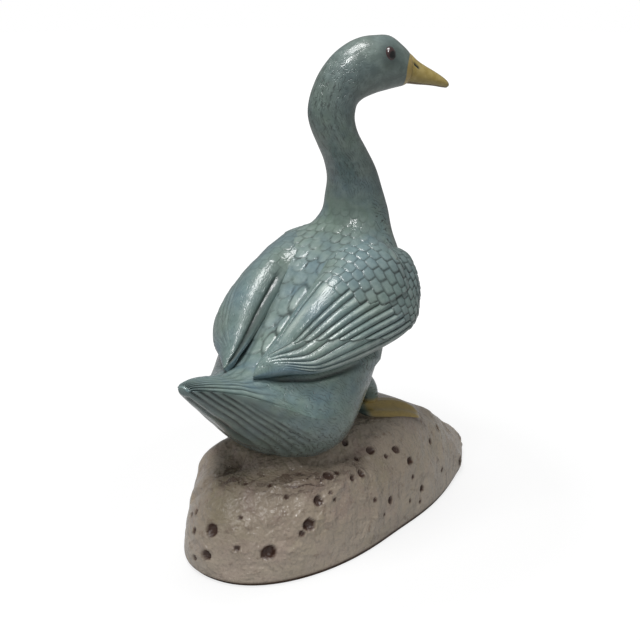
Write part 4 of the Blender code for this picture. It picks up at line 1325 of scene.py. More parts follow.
@dataclass
class Wing:
    """Folded wing: a pillow between an upper and a lower edge, carved with coverts and long feathers.

    Breadths are shares of the way from the upper to the lower edge, and lengths shares of the way from the
    shoulder to the tip.

    Attributes:
        sections: from the shoulder to the tip, upper edge (right, forward, rise), lower edge and bulge.
        sink: share of the bulge that is sunk into the body.
        covert_pitch: size of the scales at the shoulder and at the back, in mm.
        coverts_end: (breadth, length) points where the scales stop.
        tier_end: (breadth, length) points where the secondaries stop.
        secondary_gaps: breadths of the gaps between secondaries.
        primary_gaps: breadths of the gaps between primaries, before they close up on the tip.
        tip_closing: share by which the primaries close up, and the lengths over which they do.
        wedge: breadth of the dark wedge cut along the left wing's upper edge.
        wedge_width: its half width in mm.
        wedge_start, wedge_end: lengths over which it grows and ends.
        covert_line: half width in mm of the scales' gaps, and what is added where they are bold.
        vane_line: half width of the gaps between long feathers, in mm.
        left_strength: how strongly the left wing is carved beside the right one.
        scales: shape of the scales.
    """

    sections: tuple = (
        (27.0, 34.0, 95.0, 31.0, 33.0, 83.0, 2.0),
        (26.0, 21.0, 105.0, 45.0, 23.0, 75.0, 9.0),
        (17.5, 4.0, 109.0, 53.0, 9.0, 65.0, 14.0),
        (13.5, -15.0, 106.0, 56.0, -10.0, 61.0, 16.2),
        (12.0, -36.0, 96.5, 55.0, -36.0, 59.0, 16.8),
        (11.0, -57.0, 81.5, 50.0, -57.0, 56.5, 14.5),
        (9.5, -77.0, 66.5, 39.0, -74.0, 53.0, 9.5),
        (8.5, -91.0, 58.0, 25.0, -87.0, 53.0, 4.5),
        (10.6, -99.5, 52.6, 11.4, -99.5, 52.2, 0.4),
    )
    sink: float = 0.6
    covert_pitch: tuple[float, float] = (5.4, 7.2)
    coverts_end: tuple = ((0.0, 0.60), (0.42, 0.57), (0.51, 0.51), (0.62, 0.43), (0.76, 0.37), (1.0, 0.30))
    tier_end: tuple = ((0.0, 0.98), (0.25, 0.86), (0.42, 0.73), (0.56, 0.66), (0.71, 0.58), (0.84, 0.47),
                       (1.0, 0.40))
    secondary_gaps: tuple = (0.20, 0.42, 0.475, 0.53, 0.585, 0.64, 0.695, 0.755, 0.82, 0.89, 0.96)
    primary_gaps: tuple = (0.22, 0.36, 0.51, 0.61, 0.71, 0.81, 0.91)
    tip_closing: tuple[float, float, float] = (0.45, 0.72, 0.95)
    wedge: float = 0.035
    wedge_width: float = 1.5
    wedge_start: tuple[float, float] = (0.50, 0.57)
    wedge_end: tuple[float, float] = (0.92, 0.97)
    covert_line: tuple[float, float] = (0.28, 0.16)
    vane_line: float = 0.36
    left_strength: float = 0.3
    scales: ScaleField = field(default_factory=lambda: ScaleField(1.36, 0.42, 3.4))

    def build(self, side: Side, paint: Material) -> Piece:
        """Make one wing.

        Args:
            side: the side it is on.
            paint: the finish.

        Returns:
            The piece.
        """
        stations = np.linspace(0.0, len(self.sections) - 1.0, 370)
        outer_side, inner_side = np.linspace(0.0, math.pi, 225), np.linspace(math.pi, 2.0 * math.pi, 34)
        around = np.concatenate([outer_side, inner_side[1:]])
        smooth, out = self._pillow(stations, around)
        along, breadth = np.broadcast_arrays((stations / stations[-1])[:, None], (around / math.pi)[None, :])
        wobble = np.stack([value_noise(smooth, 17.0, seed) for seed in (21, 22)])
        outer = np.broadcast_to(smooth_step(0.0, 0.18, np.sin(around))[None, :], along.shape)
        chord = ring_length(smooth)[:, np.argmin(np.abs(around - math.pi))][:, None]
        path = path_length(smooth[:, len(outer_side) // 2])[:, None] * np.ones(along.shape)
        length = path[-1, 0]
        on_left = 0.0 if side is Side.RIGHT else 1.0
        strength = self.left_strength if on_left else 1.0

        height, edge, covered, chance = self._coverts(breadth, path, chord, wobble)
        height = height * (0.6 + 0.8 * chance)
        gaps = (self.wedge, *self.secondary_gaps[1:]) if on_left else self.secondary_gaps
        vane, vane_gap, across_vane = self._vanes(breadth, gaps, chord)
        scallop = 0.018 * np.sqrt(np.clip(1.0 - (2.0 * across_vane - 1.0) ** 2, 0.0, 1.0))
        tier = np.interp(breadth, *np.array(self.tier_end).T) + scallop + 0.004 * wobble[0]
        closing = 1.0 - self.tip_closing[0] * smooth_step(*self.tip_closing[1:], along)
        primary, primary_gap, across_primary = self._vanes(
            breadth / closing, self.primary_gaps, chord * closing)
        is_primary = along > tier
        across_vane = np.where(is_primary, across_primary, across_vane)
        long_height = np.where(is_primary, primary - 0.7, vane)
        long_gap = np.where(is_primary, primary_gap, vane_gap)
        long_gap = np.minimum(long_gap, np.abs(along - tier) * length)
        width = chord * np.where(is_primary, 0.10 * closing, 0.055)
        roomy = smooth_step(1.3, 3.4, width) * np.ones(along.shape)
        slender = np.where(is_primary, 0.6, 1.0)
        wedge = on_left * line_depth((breadth - self.wedge) * chord, self.wedge_width) * window(
            self.wedge_start, self.wedge_end, along)

        on_scale = covered > 0.5
        bold = strength * (0.55 + 0.45 * smooth_step(0.30, 0.50, breadth))
        lift = np.where(on_scale, 0.75 + 0.65 * height * bold,
                        0.6 + (long_height * 1.3 - 0.6) * strength * roomy * slender)
        gap = np.where(on_scale, edge, np.minimum(long_gap, edge))
        faded = fade(0.95, 1.0, along)
        drawn = outer * faded * roomy * np.where(on_scale, 0.4 + 0.6 * bold, (0.3 + 0.7 * strength) * slender)
        line, bolder = self.covert_line
        groove = line_depth(gap, np.where(on_scale, line + bolder * bold, self.vane_line)) * drawn
        halo = 0.09 * line_depth(gap, 1.3) * drawn
        away = self._back_gap(smooth, along, breadth)
        lift = (lift - 0.6) * outer * faded - groove * (0.3 + 0.2 * bold) - 1.3 * wedge
        lift = lift + 0.3 * value_noise(smooth, 10.0, 25) * outer + VALLEY.lift(smooth, away, on_left)

        patchy = np.clip(0.5 + 1.1 * value_noise(smooth, 11.0, 27), 0.0, 1.0)
        # Painted highlight: light paint along the upper side of each long feather's rib.
        rib_highlight = line_depth(across_vane - 0.36, 0.17) * roomy * (0.4 + patchy)
        crease = np.maximum(VALLEY.crease(smooth, away) * (1.0 - on_left), wedge)
        shade = np.maximum(groove * (0.8 + 0.2 * wobble[1]), 0.9 * crease) + halo
        bluish = 0.8 * smooth_step(0.70, 0.85, along) * smooth_step(0.5, 0.85, breadth)
        # Painted shade: duller, darker paint on the wing's lower part and along the left wing's upper edge.
        drab_and_shade = 0.15 + 0.3 * smooth_step(0.7, 1.0, breadth) + 0.4 * on_left * fade(0.05, 0.35, breadth)
        fields = {
            "groove": np.clip(shade, 0.0, 1.0),
            "ridge_highlight": np.clip(np.where(on_scale, height * 0.25, rib_highlight) * outer * strength, 0.0, 1.0),
            "hair": (1.0 - covered) * outer * 0.30,
            "strokes": np.zeros(along.shape),
            "strand": breadth * chord,
            "ochre": np.zeros(along.shape),
            "tint": np.clip(0.3 + 0.45 * wobble[0] + bluish, 0.0, 1.0),
            "drab_and_shade": np.clip(drab_and_shade, 0.0, 1.0),
        }
        grid = (smooth + out * lift[..., None]) * np.array([side.value, 1.0, 1.0])
        flow = np.stack([path, ring_length(smooth)], axis=-1)
        return Surface(f"{side.name.lower()}_wing", grid, fields, flow).to_object(paint)

    def _coverts(
        self, breadth: Array, path: Array, chord: Array, wobble: Array
    ) -> tuple[Array, ...]:
        """Scales of the shoulder, counted across by the integral of chord / pitch.

        Args:
            breadth: place between the upper and the lower edge.
            path: millimetres along the wing.
            chord: width of the wing in mm.
            wobble: two noises that bend the rows.

        Returns:
            What ScaleField.measure gives.
        """
        shares = np.linspace(0.0, 1.0, 200)
        pitch = self.covert_pitch[1] + (self.covert_pitch[0] - self.covert_pitch[1]) * smooth_step(
            0.15, 0.6, shares)
        middle_chord = chord[len(chord) // 3, 0]
        counts = np.concatenate([[0.0], np.cumsum(middle_chord / 199.0 / pitch[1:])])
        end_breadth, end_along = np.array(self.coverts_end).T

        def last_row(at: Array) -> Array:
            """Last row of scales at a position across, so that each whole scale stays or goes."""
            share = np.interp(np.interp(at, counts, shares), end_breadth, end_along)
            return self._rows(share * path[-1, 0])[0] - self.scales.reach

        rows, row_pitch = self._rows(path + 1.2 * wobble[0])
        across = np.interp(breadth, shares, counts) + 0.14 * wobble[1]
        return self.scales.measure(rows, across, row_pitch, np.interp(breadth, shares, pitch), last_row)

    def sample(self) -> tuple[Array, Array]:
        """Coarse points of the smooth right wing's outer side, with their outward directions."""
        stations = np.linspace(0.0, len(self.sections) - 1.0, 70)
        return self._pillow(stations, np.linspace(0.02, math.pi - 0.02, 50))

    def _back_gap(self, smooth: Array, along: Array, breadth: Array) -> Array:
        """Find how far the wing's upper part is from the smooth back.

        Args:
            smooth: the smooth wing.
            along: place between the shoulder and the tip.
            breadth: place between the upper and the lower edge.

        Returns:
            Distances in mm.
        """
        stations = np.linspace(3.5, 14.0, 105)
        body = section_loft(BODY_SECTIONS, stations, np.linspace(0.0, 0.6 * math.pi, 60))
        facing = outward_normals(body, body.mean(axis=1, keepdims=True) - np.array([0.0, 0.0, 30.0]))
        return gap_to(smooth, body, facing, (breadth < 0.6) & (along > 0.1))

    def _pillow(self, stations: Array, around: Array) -> tuple[Array, Array]:
        """Smooth right wing and its outward directions.

        Each ring is middle + half chord * -cos(angle) + out * bulge * sin(angle), softened near the upper
        edge at the shoulder so that the wing grows out of the back.

        Args:
            stations: places along the wing, counted in sections.
            around: angles, 0 at the upper edge and half a turn at the lower one.

        Returns:
            Rings by points by 3, and as many unit vectors.
        """
        rows = through(self.sections, stations)
        upper, lower = place(*rows[:, 0:3].T), place(*rows[:, 3:6].T)
        middle, half_chord = (upper + lower) / 2.0, (lower - upper) / 2.0
        out = np.cross(half_chord, np.gradient(middle, axis=0))
        out /= np.linalg.norm(out, axis=1, keepdims=True)
        out *= np.sign(-out[:, :1])
        across = -np.sign(np.cos(around)) * np.abs(np.cos(around)) ** 0.9
        share = (stations / stations[-1])[:, None]
        soft = 0.75 * fade(0.25, 0.5, share) * fade(-1.0, 0.2, across)[None, :]
        height = np.abs(np.sin(around))[None, :] ** (0.8 + soft)
        rise = np.where(np.sin(around)[None, :] > 0.0, height, -self.sink * np.abs(np.sin(around))[None, :])
        bulge = rows[:, 6:7] * rise * (1.0 - 0.25 * across)[None, :]
        bulge = bulge + 3.5 * np.clip(np.sin(around)[None, :], -1.0, 0.0) * smooth_step(0.8, 0.95, share)
        grid = middle[:, None, :] + half_chord[:, None, :] * across[None, :, None]
        grid = grid + out[:, None, :] * bulge[..., None]
        return grid, outward_normals(grid, middle[:, None, :])

    def _rows(self, path: Array) -> tuple[Array, Array]:
        """Count rows of scales along the wing, the integral of path / pitch, where the pitch grows by path.

        Args:
            path: millimetres along the wing.

        Returns:
            Rows and their pitch in mm.
        """
        low, high = self.covert_pitch
        growth = (high - low) / 80.0
        pitch = low + growth * np.clip(path, 0.0, None)
        return np.log(pitch / low) / growth + 2.0, pitch

    def _vanes(self, breadth: Array, gaps: tuple, chord: Array) -> tuple[Array, ...]:
        """Long feathers side by side, domed and tilted so that each one's lower edge stands proud.

        Args:
            breadth: share of the way from the upper to the lower edge.
            gaps: breadths of the gaps.
            chord: width of the wing in mm.

        Returns:
            Height 0 to 1, distance to the nearest gap in mm, and share of the way across the feather.
        """
        edges = np.array((-0.02, *gaps, 1.02))
        index = np.clip(np.searchsorted(edges, breadth) - 1, 0, len(edges) - 2)
        low, high = edges[index], edges[index + 1]
        share = np.clip((breadth - low) / (high - low), 0.0, 1.0)
        distance = np.abs(np.minimum(breadth - low, high - breadth) * chord)
        dome = 1.0 - np.clip(1.0 - distance / 2.2, 0.0, 1.0) ** 2
        return dome * (0.75 + 0.25 * share), distance, share


@dataclass
class Rock:
    """Pitted mound with a level underside and a narrow foot, with painted contact shadow round the foot.

    Bearings are degrees from straight ahead towards the goose's right, and shares run from the crown to
    the foot.

    Attributes:
        length, width: size of the oval outline in mm.
        front_drop, drop_start: how far the skin falls towards the front, and from where forward, in mm.
        turn: degrees by which the oval is turned.
        forward: place of its middle in mm.
        outline_power: 2 for an ellipse, more for a squarer outline.
        waist: share by which the outline is drawn in, at which bearing and over how many degrees.
        crown_power, wall_power: how flat the crown and how steep the wall is.
        foot_rise, foot_inset: height and inset of the narrow foot in mm.
        hidden_pits: number of pits on the sides that the photograph doesn't show.
        hidden_sizes: their diameters in turn, in mm.
        forms: half width, height and line of (bearing, share) points of each weathered form.
        foot_shadow_line: (aside, forward) line of the painted shadow beside both feet.
        pits: (bearing, share, diameter) of the pits that the photograph shows.
    """

    length: float = 269.0
    width: float = 131.0
    front_drop: float = 44.0
    drop_start: float = 15.0
    turn: float = 3.0
    forward: float = -2.0
    outline_power: float = 2.15
    waist: tuple[float, float, float] = (0.035, 112.0, 26.0)
    crown_power: float = 4.2
    wall_power: float = 0.55
    foot_rise: float = 2.5
    foot_inset: float = 1.2
    hidden_pits: int = 30
    hidden_sizes: tuple = (8.0, 4.0, 6.0, 3.2)
    forms: tuple = (
        (8.5, -4.6, ((197, 0.48), (188, 0.475), (178, 0.475), (168, 0.46), (156, 0.455), (143, 0.46),
                     (130, 0.50))),
        (6.0, 1.4, ((190, 0.60), (182, 0.60), (172, 0.575), (160, 0.56), (147, 0.58), (134, 0.64))),
        (12.0, 5.0, ((203, 0.53), (208, 0.62))),
        (2.8, -3.0, ((190, 0.43), (189, 0.53), (193, 0.66), (199, 0.76))),
        (4.0, 1.6, ((126, 0.66), (127, 0.86))),
        (8.0, 2.2, ((32, 0.47), (22, 0.57))),
        (7.0, 1.8, ((37, 0.80), (36, 0.90))),
        (10.0, -1.8, ((112, 0.60), (104, 0.80))),
        (9.0, 1.8, ((78, 0.70), (70, 0.84))),
        (13.0, 3.0, ((238, 0.62), (246, 0.74))),
        (11.0, -2.4, ((268, 0.58), (274, 0.80))),
        (12.0, 2.6, ((300, 0.66), (312, 0.72))),
        (9.0, -2.0, ((338, 0.62), (346, 0.80))),
    )
    foot_shadow_line: tuple = ((24.0, -10.0), (31.0, -8.0), (39.0, 12.0), (47.0, 34.0))
    pits: tuple = (
        (166, 0.85, 9.0), (182, 0.89, 6.0), (182, 0.78, 7.5), (174, 0.83, 3.6), (188, 0.82, 4.0),
        (192, 0.78, 3.2), (190, 0.75, 3.2), (186, 0.93, 3.6), (156, 0.76, 7.5), (158, 0.79, 3.6),
        (154, 0.66, 6.0), (151, 0.55, 6.5), (147, 0.55, 3.6), (140, 0.61, 4.2), (134, 0.61, 5.5),
        (132, 0.51, 3.8), (121, 0.51, 5.5), (100, 0.59, 5.5), (110, 0.60, 3.2), (92, 0.69, 5.0),
        (60, 0.67, 4.5), (44, 0.61, 4.5), (84, 0.87, 4.5), (116, 0.82, 4.5), (128, 0.77, 2.6),
        (98, 0.89, 2.6), (88, 0.93, 2.6), (122, 0.87, 2.2), (140, 0.37, 4.5), (92, 0.78, 3.2),
        (58, 0.86, 3.2), (37, 0.92, 6.0), (164, 0.61, 3.0), (148, 0.68, 2.6), (150, 0.64, 2.6),
        (170, 0.55, 3.0), (178, 0.55, 3.0), (175, 0.70, 2.6), (188, 0.52, 4.5),
    )

    def reach(self, bearing: Array) -> Array:
        """Distance to the outline: a superellipse, drawn in on the goose's right.

        Args:
            bearing: angles in radians.

        Returns:
            Distances in mm.
        """
        length_part = np.abs(np.cos(bearing)) / (self.length / 2.0)
        width_part = np.abs(np.sin(bearing)) / (self.width / 2.0)
        power = self.outline_power
        oval = (length_part**power + width_part**power) ** (-1.0 / power)
        depth, middle, spread = self.waist
        return oval * (1.0 - depth * line_depth(np.degrees(bearing) - middle, spread))

    def skin_level(self, reach: Array, forward: Array) -> Array:
        """Level of the smooth skin: foot + (1 - reach^crown power)^wall power * (top - foot).

        Args:
            reach: distance from the middle as a share of the outline's.
            forward: place in mm, for the fall towards the front.

        Returns:
            Levels in mm.
        """
        fullness = np.clip(1.0 - reach**self.crown_power, 0.0, 1.0) ** self.wall_power
        top = ROCK_HEIGHT - self.front_drop * smooth_step(self.drop_start, self.length / 2.0, forward)
        return self.foot_rise + fullness * (top - self.foot_rise)

    def point(self, bearing: Array, share: Array) -> Array:
        """Smooth skin: each ring is the outline, shrunk to sin(share * quarter turn)^0.9 of its size.

        Args:
            bearing: angles in radians.
            share: share of the way from crown to foot.

        Returns:
            Points in mm.
        """
        reach = np.sin(share * math.pi / 2.0) ** 0.9
        aside = reach * self.reach(bearing) * np.sin(bearing)
        ahead = reach * self.reach(bearing) * np.cos(bearing)
        turn = math.radians(self.turn)
        forward = ahead * math.cos(turn) + aside * math.sin(turn) + self.forward
        right = aside * math.cos(turn) - ahead * math.sin(turn)
        return place(right, forward, self.skin_level(reach, forward) - ROCK_HEIGHT)

    def level_at(self, right: Array, forward: Array) -> Array:
        """Level of the smooth skin at a place seen from above.

        Args:
            right: millimetres to the goose's right.
            forward: millimetres ahead of its middle.

        Returns:
            Levels in mm.
        """
        turn = math.radians(self.turn)
        ahead = forward - self.forward
        own_forward = ahead * math.cos(turn) - right * math.sin(turn)
        own_right = right * math.cos(turn) + ahead * math.sin(turn)
        reach = np.hypot(own_forward, own_right) / self.reach(np.arctan2(own_right, own_forward))
        return self.skin_level(reach, forward)

    def all_pits(self) -> list[tuple[float, float, float]]:
        """Pits that the photograph shows, and others spread over the hidden sides by the golden angle."""
        golden = 180.0 * (3.0 - math.sqrt(5.0))
        hidden = []
        for index in range(self.hidden_pits):
            bearing = 205.0 + (index * golden) % 185.0
            share = 0.42 + 0.5 * ((index * 0.618) % 1.0)
            hidden.append((bearing, share, self.hidden_sizes[index % len(self.hidden_sizes)]))
        return [*self.pits, *hidden]

    def form_height(self, points: Array) -> Array:
        """Height of the weathered forms, each height * exp(-(distance from its line / half width)^2).

        Args:
            points: points of the smooth skin.

        Returns:
            Heights in mm.
        """
        height = np.zeros(points.shape[:-1])
        for half_width, form_height, line in self.forms:
            bearings, shares = np.array(line, float).T
            away = line_distance(points, self.point(np.radians(bearings), shares))
            height = height + form_height * line_depth(away, half_width)
        return height

    def _pitted(self, smooth: Array) -> tuple[Array, Array]:
        """Pits: hollows with ragged edges, as deep as (1 - distance^4), in raised rims.

        Args:
            smooth: the smooth skin.

        Returns:
            Lift in mm and darkness 0 to 1.
        """
        rims, depth, dark = (np.zeros(smooth.shape[:2]) for _ in range(3))
        for index, (bearing, share, diameter) in enumerate(self.all_pits()):
            centre = self.point(np.array(math.radians(bearing)), np.array(share))
            ragged = 1.0 + 0.22 * value_noise(smooth + 40.0 * index, 2.6, 34)
            away = np.linalg.norm(smooth - centre, axis=2) / (diameter / 2.0) * ragged
            rims = rims + 0.5 * line_depth(away - 1.25, 0.22) * min(1.0, diameter / 6.0)
            depth = np.maximum(depth, np.clip(1.0 - away**4, 0.0, 1.0) * diameter * 0.38)
            dark = np.maximum(dark, fade(0.85, 1.15, away))
        return rims - depth, dark

    def _paint_fields(self, smooth: Array, bearing: Array, share: Array) -> Fields:
        """Find where the paint is scratched, stained and chipped, and where shade, shadow and light are
        painted on.

        Args:
            smooth: the smooth skin.
            bearing: degrees, for each point.
            share: share of the way from crown to foot, for each point.

        Returns:
            The fields shaded_ledge, painted_shadow and chips_and_painted_light, each 0 to 1.
        """
        patch = np.clip(0.65 + 0.6 * value_noise(smooth, 14.0, 37), 0.0, 1.0)
        # Painted shade on the terrace under the goose, where scratches are also cut.
        shaded_ledge = window((0.43, 0.47), (0.56, 0.64), share) * window((118.0, 140.0), (188.0, 199.0), bearing)
        plan = np.stack([np.abs(smooth[..., 0]), -smooth[..., 1]], axis=-1)
        # Painted shadow on the rock beside each of the goose's feet.
        foot_shadow = line_depth(line_distance(plan, np.array(self.foot_shadow_line)), 2.2)
        chips_and_painted_light = smooth_step(0.35, 1.0, value_noise(smooth, 4.0, 36)) * 0.3 * smooth_step(0.5, 0.9, share)
        # Painted light: lighter towards the rock's foot and on its front.
        chips_and_painted_light = chips_and_painted_light + 0.45 * smooth_step(0.72, 0.95, share) + 0.4 * fade(60.0, 125.0, bearing)
        return {
            "shaded_ledge": shaded_ledge * patch,
            # Painted contact shadow along the rock's foot, and the painted shadow beside the feet.
            "painted_shadow": np.maximum(smooth_step(0.985, 1.0, share) * 0.8, 0.8 * foot_shadow),
            "chips_and_painted_light": np.clip(chips_and_painted_light, 0.0, 1.0),
        }

    def build(self, paint: Material) -> Piece:
        """Make the rock.

        Args:
            paint: the finish.

        Returns:
            The piece.
        """
        share = np.linspace(0.002, 1.0, 136)[:, None]
        bearing = np.linspace(0.0, 2.0 * math.pi, 671)[None, :]
        smooth = self.point(bearing, share)
        share, degrees = np.broadcast_arrays(share, np.degrees(bearing))
        x, y, z = (smooth[..., axis] for axis in range(3))
        lumps = 1.3 * (np.sin(x / 13.0 + 1.0) * np.sin(y / 17.0)
                       + 0.7 * np.sin(y / 11.0 + x / 23.0) * np.cos(z / 12.0))
        lumps = lumps + 0.7 * value_noise(smooth, 12.0, 32) + 0.4 * value_noise(smooth, 5.0, 33)
        lumps = lumps * window((0.25, 0.5), (0.9, 1.0), share) + self.form_height(smooth)
        pitted, dark = self._pitted(smooth)
        normals = outward_normals(smooth, np.array([0.0, -self.forward, self.foot_rise]))
        grid = smooth + normals * (lumps + pitted)[..., None]
        fields = {"pit": dark, **self._paint_fields(smooth, degrees, share)}

        middle = np.array([0.0, -self.forward, 0.0])
        inset = 1.0 - self.foot_inset / (self.width / 2.0)
        foot = [
            (grid[-1:] - middle) * np.array([inset, inset, 0.0]) + middle + np.array([0.0, 0.0, level])
            for level in (self.foot_rise * 0.6, 0.0)
        ]
        grid = np.concatenate([grid, *foot])
        # The foot's two extra rings are fully in painted shadow.
        fields = {
            name: np.concatenate([values, np.full((2, values.shape[1]), float(name == "painted_shadow"))])
            for name, values in fields.items()
        }
        return Surface("rock", grid, fields, grid[..., 0:2]).to_object(paint)


@dataclass
class Leg:
    """Thigh and shank, painted turquoise, and a webbed foot, painted ochre.

    Attributes:
        spread: distance between the legs in mm.
        shank_radius: radius of the shank in mm.
        foot_length, foot_width: size of the foot in mm.
        heel_width, heel_height, toe_height: width and thickness of its ends in mm.
        toe_out: degrees by which the toes point outwards.
        path: (right, forward, rise, share of the radius) of the limb, from the belly into the rock.
    """

    spread: float = 44.0
    shank_radius: float = 5.6
    foot_length: float = 46.0
    foot_width: float = 27.0
    heel_width: float = 17.0
    heel_height: float = 6.5
    toe_height: float = 4.0
    toe_out: float = 27.0
    path: tuple = (
        (-6.0, -22.0, 40.0, 2.4),
        (-4.0, -10.0, 28.0, 2.1),
        (-1.0, 0.0, 18.0, 1.5),
        (0.0, 6.0, 9.0, 1.05),
        (-1.0, 7.5, 3.0, 1.0),
        (-1.0, 7.0, -4.0, 1.15),
    )

    def build(self, side: Side, rock: Rock, paint: Material) -> list[Piece]:
        """Make one leg and its foot on the rock.

        Args:
            side: the side it is on.
            rock: what it stands on.
            paint: the finish.

        Returns:
            The shank and the foot.
        """
        return [self._shank(side, paint), self._foot(side, rock, paint)]

    def _shank(self, side: Side, paint: Material) -> Piece:
        """Round limb along a path: centre + radius * (cos, sin).

        Args:
            side: the side it is on.
            paint: the finish.

        Returns:
            The piece.
        """
        rows = through(self.path, np.linspace(0.0, len(self.path) - 1.0, 70))
        around = np.linspace(0.0, 2.0 * math.pi, 65)[None, :]
        radius = self.shank_radius * rows[:, 3:4]
        right = self.spread / 2.0 + rows[:, 0:1] + radius * np.cos(around)
        forward = rows[:, 1:2] + radius * np.sin(around)
        grid = place(right, forward, rows[:, 2:3]) * np.array([side.value, 1.0, 1.0])
        flow = np.stack([grid[..., 2], ring_length(grid)], axis=-1)
        low = fade(4.0, 9.0, grid[..., 2] - ROCK_HEIGHT)
        fields = dict.fromkeys(("groove", "ridge_highlight", "hair", "strand"), np.zeros(low.shape))
        fields |= {"strokes": 0.5 * (1.0 - low), "ochre": low, "tint": np.full(low.shape, 0.3),
                   "drab_and_shade": np.full(low.shape, 0.4)}
        return Surface(f"{side.name.lower()}_shank", grid, fields, flow).to_object(paint)

    def _foot(self, side: Side, rock: Rock, paint: Material) -> Piece:
        """Webbed foot that follows the rock, with toes as ridges: height * sin(angle) over the rock.

        Args:
            side: the side it is on.
            rock: what it stands on.
            paint: the finish.

        Returns:
            The piece.
        """
        along = np.linspace(0.0, 1.0, 120)[:, None]
        around = np.linspace(0.0, 2.0 * math.pi, 121)[None, :]
        ends = np.sqrt(np.clip(1.0 - np.abs(2.0 * along - 1.0) ** 8, 0.01, 1.0))
        half_width = (self.heel_width / 2.0 + (self.foot_width - self.heel_width) / 2.0 * along**1.2) * ends
        ahead = self.foot_length * (along - 0.1)
        offset = half_width * np.cos(around)
        offset = np.where(offset > 0.0, offset * (1.15 - 0.6 * smooth_step(0.3, 1.0, along)), offset)
        toe_out = math.radians(self.toe_out)
        right = self.spread / 2.0 + ahead * math.sin(toe_out) + offset * math.cos(toe_out)
        forward = ahead * math.cos(toe_out) - offset * math.sin(toe_out)
        height = (self.heel_height + (self.toe_height - self.heel_height) * along) * ends
        toe = np.cos(2.0 * math.pi * np.cos(around))
        level = rock.level_at(right, forward) + height * np.sin(around) * (0.80 + 0.20 * toe)
        grid = place(right, forward, level - ROCK_HEIGHT) * np.array([side.value, 1.0, 1.0])
        web = (1.0 - toe) / 2.0 * np.clip(np.sin(around), 0.0, 1.0) * smooth_step(0.2, 0.5, along)
        # Painted shade: dark paint on the foot's underside and at its heel, where shade falls on the rock.
        under = fade(0.0, 0.2, np.sin(around))
        shade = 0.1 * web**3 + 0.5 * fade(0.02, 0.15, along) + 0.7 * under
        fields = {
            "groove": np.clip(shade, 0.0, 1.0),
            # Painted highlight on the toes' ridges.
            "ridge_highlight": 0.15 * (1.0 - web),
            "hair": np.array(0.15), "strokes": np.array(0.0), "drab_and_shade": np.array(0.0),
            "strand": offset,
            "ochre": smooth_step(0.02, 0.14, along), "tint": np.array(0.0),
        }
        flow = np.stack(np.broadcast_arrays(ahead, offset), axis=-1)
        return Surface(f"{side.name.lower()}_foot", grid, fields, flow).to_object(paint)


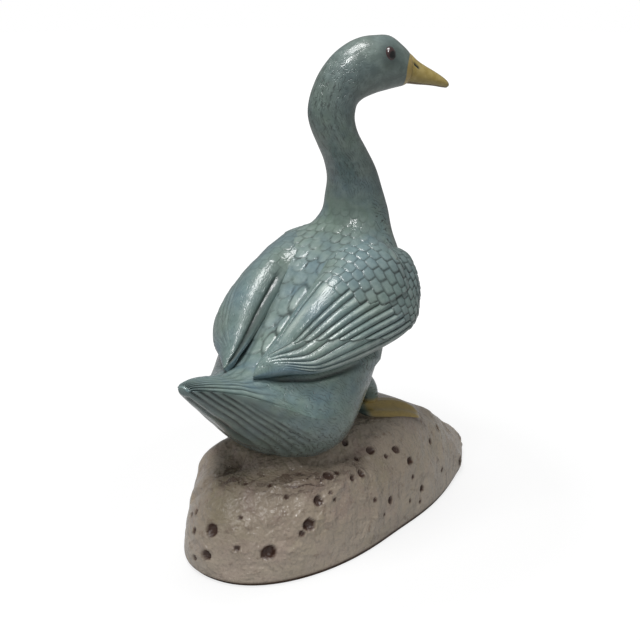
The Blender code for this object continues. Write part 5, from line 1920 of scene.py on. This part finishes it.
@dataclass
class Studio:
    """White sweep, soft lamps and the camera at the photograph's viewpoint.

    Attributes:
        from_back: camera's bearing in degrees from behind the goose towards its right.
        elevation: degrees above the horizon.
        distance: millimetres from the aimed point.
        focal_px: focal length in pixels of the photograph, which is frame_px wide.
        sensor: width of the camera's sensor in mm.
        aim_right, aim_up: the aimed point, in mm to the picture's right and above the floor.
        world_strength: brightness of the surroundings for everything but the camera.
        bounce, paper: whiteness of the floor for everything but the camera, and for the camera.
        lift, glow: least share and strength of the floor's plain white.
        glow_span: metres from the goose over which it turns into plain white.
        floor_radius: radius of the floor in metres.
        overhead, front: size in metres and power in watts of the softboxes.
        lamp_aim, lamp_distance: height that they aim at and how far away they are, in metres.
    """

    from_back: float = 35.5
    elevation: float = 19.0
    distance: float = 800.0
    focal_px: float = 1245.0
    frame_px: float = 640.0
    sensor: float = 36.0
    aim_right: float = -10.4
    aim_up: float = 122.9
    world_strength: float = 0.22
    bounce: float = 0.62
    paper: float = 0.9
    lift: float = 0.72
    glow: float = 1.1
    glow_span: tuple[float, float] = (0.15, 0.30)
    floor_radius: float = 3.0
    overhead: tuple[float, float] = (0.38, 5.4)
    front: tuple[float, float] = (0.18, 2.4)
    lamp_aim: float = 0.15
    lamp_distance: float = 0.95

    def build(self) -> None:
        """Make the floor, the world, the lamps and the camera."""
        self._floor()
        self._world()
        back, right = self._axes()
        up = Vector((0.0, 0.0, 1.0))
        self._lamp("overhead_softbox", back * 0.10 + up * 1.0 - right * 0.15, *self.overhead)
        self._lamp("front_softbox", back * 0.75 + up * 0.75 - right * 0.24, *self.front)
        self._camera(back, right)

    def _axes(self) -> tuple[Vector, Vector]:
        """Unit vectors from the object towards the camera and to the picture's right."""
        bearing, tilt = math.radians(self.from_back), math.radians(self.elevation)
        level = math.cos(tilt)
        back = Vector((-math.sin(bearing) * level, math.cos(bearing) * level, math.sin(tilt)))
        right = Vector((-math.cos(bearing), -math.sin(bearing), 0.0))
        return back, right

    def _camera(self, back: Vector, right: Vector) -> None:
        """Camera on the line of sight: position = aimed point + distance * back.

        Args:
            back: unit vector from the object towards the camera.
            right: unit vector to the picture's right.
        """
        data = bpy.data.cameras.new("photo_view")
        data.sensor_width = self.sensor
        data.lens = self.focal_px * self.sensor / self.frame_px
        camera = new_object("photo_view", data)
        aim = right * self.aim_right * MM + Vector((0.0, 0.0, self.aim_up * MM))
        camera.location = aim + back * self.distance * MM
        camera.rotation_mode = "QUATERNION"
        camera.rotation_quaternion = (-back).to_track_quat("-Z", "Y")
        bpy.context.scene.camera = camera

    def _lamp(self, name: str, direction: Vector, size: float, watts: float) -> None:
        """Square softbox aimed at the goose.

        Args:
            name: the lamp's name.
            direction: direction from the goose to the lamp.
            size: edge in metres.
            watts: power.
        """
        data = bpy.data.lights.new(name, "AREA")
        data.size = size
        data.energy = watts
        lamp = new_object(name, data)
        direction = direction.normalized()
        lamp.location = Vector((0.0, 0.0, self.lamp_aim)) + direction * self.lamp_distance
        lamp.rotation_mode = "QUATERNION"
        lamp.rotation_quaternion = (-direction).to_track_quat("-Z", "Y")

    def _floor(self) -> None:
        """Round white floor that shows the goose's shadow and turns into plain white further out.

        The camera sees a whiter paper than all other rays do, so less light bounces back at the goose.
        """
        mesh = bpy.data.meshes.new("floor")
        angle = np.linspace(0.0, 2.0 * math.pi, 97)[:-1]
        rim = np.stack([np.cos(angle), np.sin(angle), np.zeros(96)], axis=1) * self.floor_radius
        mesh.from_pydata(rim.tolist(), [], [list(range(96))])
        material = bpy.data.materials.new("white_sweep")
        tree = empty_tree(material)
        seen = add_node(tree, "ShaderNodeLightPath").outputs["Is Camera Ray"]
        tone = ramp(tree, seen, 0.0, 1.0, self.paper, self.bounce)
        paper = add_node(tree, "ShaderNodeBsdfDiffuse", {"Color": tone}).outputs[0]
        away = add_node(tree, "ShaderNodeVectorMath", {0: object_place(tree)}, operation="LENGTH")
        far = ramp(tree, away.outputs["Value"], *self.glow_span, 1.0, self.lift)
        far = calculate(tree, "MULTIPLY", far, seen)
        glow = add_node(tree, "ShaderNodeEmission", {"Color": (1.0, 1.0, 1.0, 1.0), "Strength": self.glow})
        both = add_node(tree, "ShaderNodeMixShader", {0: far, 1: paper, 2: glow.outputs[0]}).outputs[0]
        add_node(tree, "ShaderNodeOutputMaterial", {"Surface": both})
        mesh.materials.append(material)
        floor = new_object("floor", mesh)

    def _world(self) -> None:
        """Even white surroundings, full white where the camera looks straight at them."""
        world = bpy.data.worlds.new("studio")
        tree = empty_tree(world)
        seen = add_node(tree, "ShaderNodeLightPath").outputs["Is Camera Ray"]
        strength = ramp(tree, seen, 0.0, 1.0, 1.0, self.world_strength)
        glow = add_node(tree, "ShaderNodeBackground", {"Color": (1.0, 1.0, 1.0, 1.0), "Strength": strength})
        add_node(tree, "ShaderNodeOutputWorld", {"Surface": glow.outputs[0]})
        bpy.context.scene.world = world


def main() -> None:
    logging.basicConfig(level=logging.INFO, format="%(name)s: %(message)s")
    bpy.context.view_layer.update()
    scene = bpy.context.scene
    scene.view_settings.view_transform = "Standard"
    paint = LacqueredPaint().material()
    ochre = OchrePaint().material()
    eye_paint = EyePaint().material()
    rock_paint = RockPaint().material()
    rock = Rock()
    Trunk().build(paint)
    Bill().build(ochre)
    for side in Side:
        Wing().build(side, paint)
        Leg().build(side, rock, paint)
        Eye().build(side, eye_paint)
    rock.build(rock_paint)
    Studio().build()


if __name__ == "__main__":
    main()
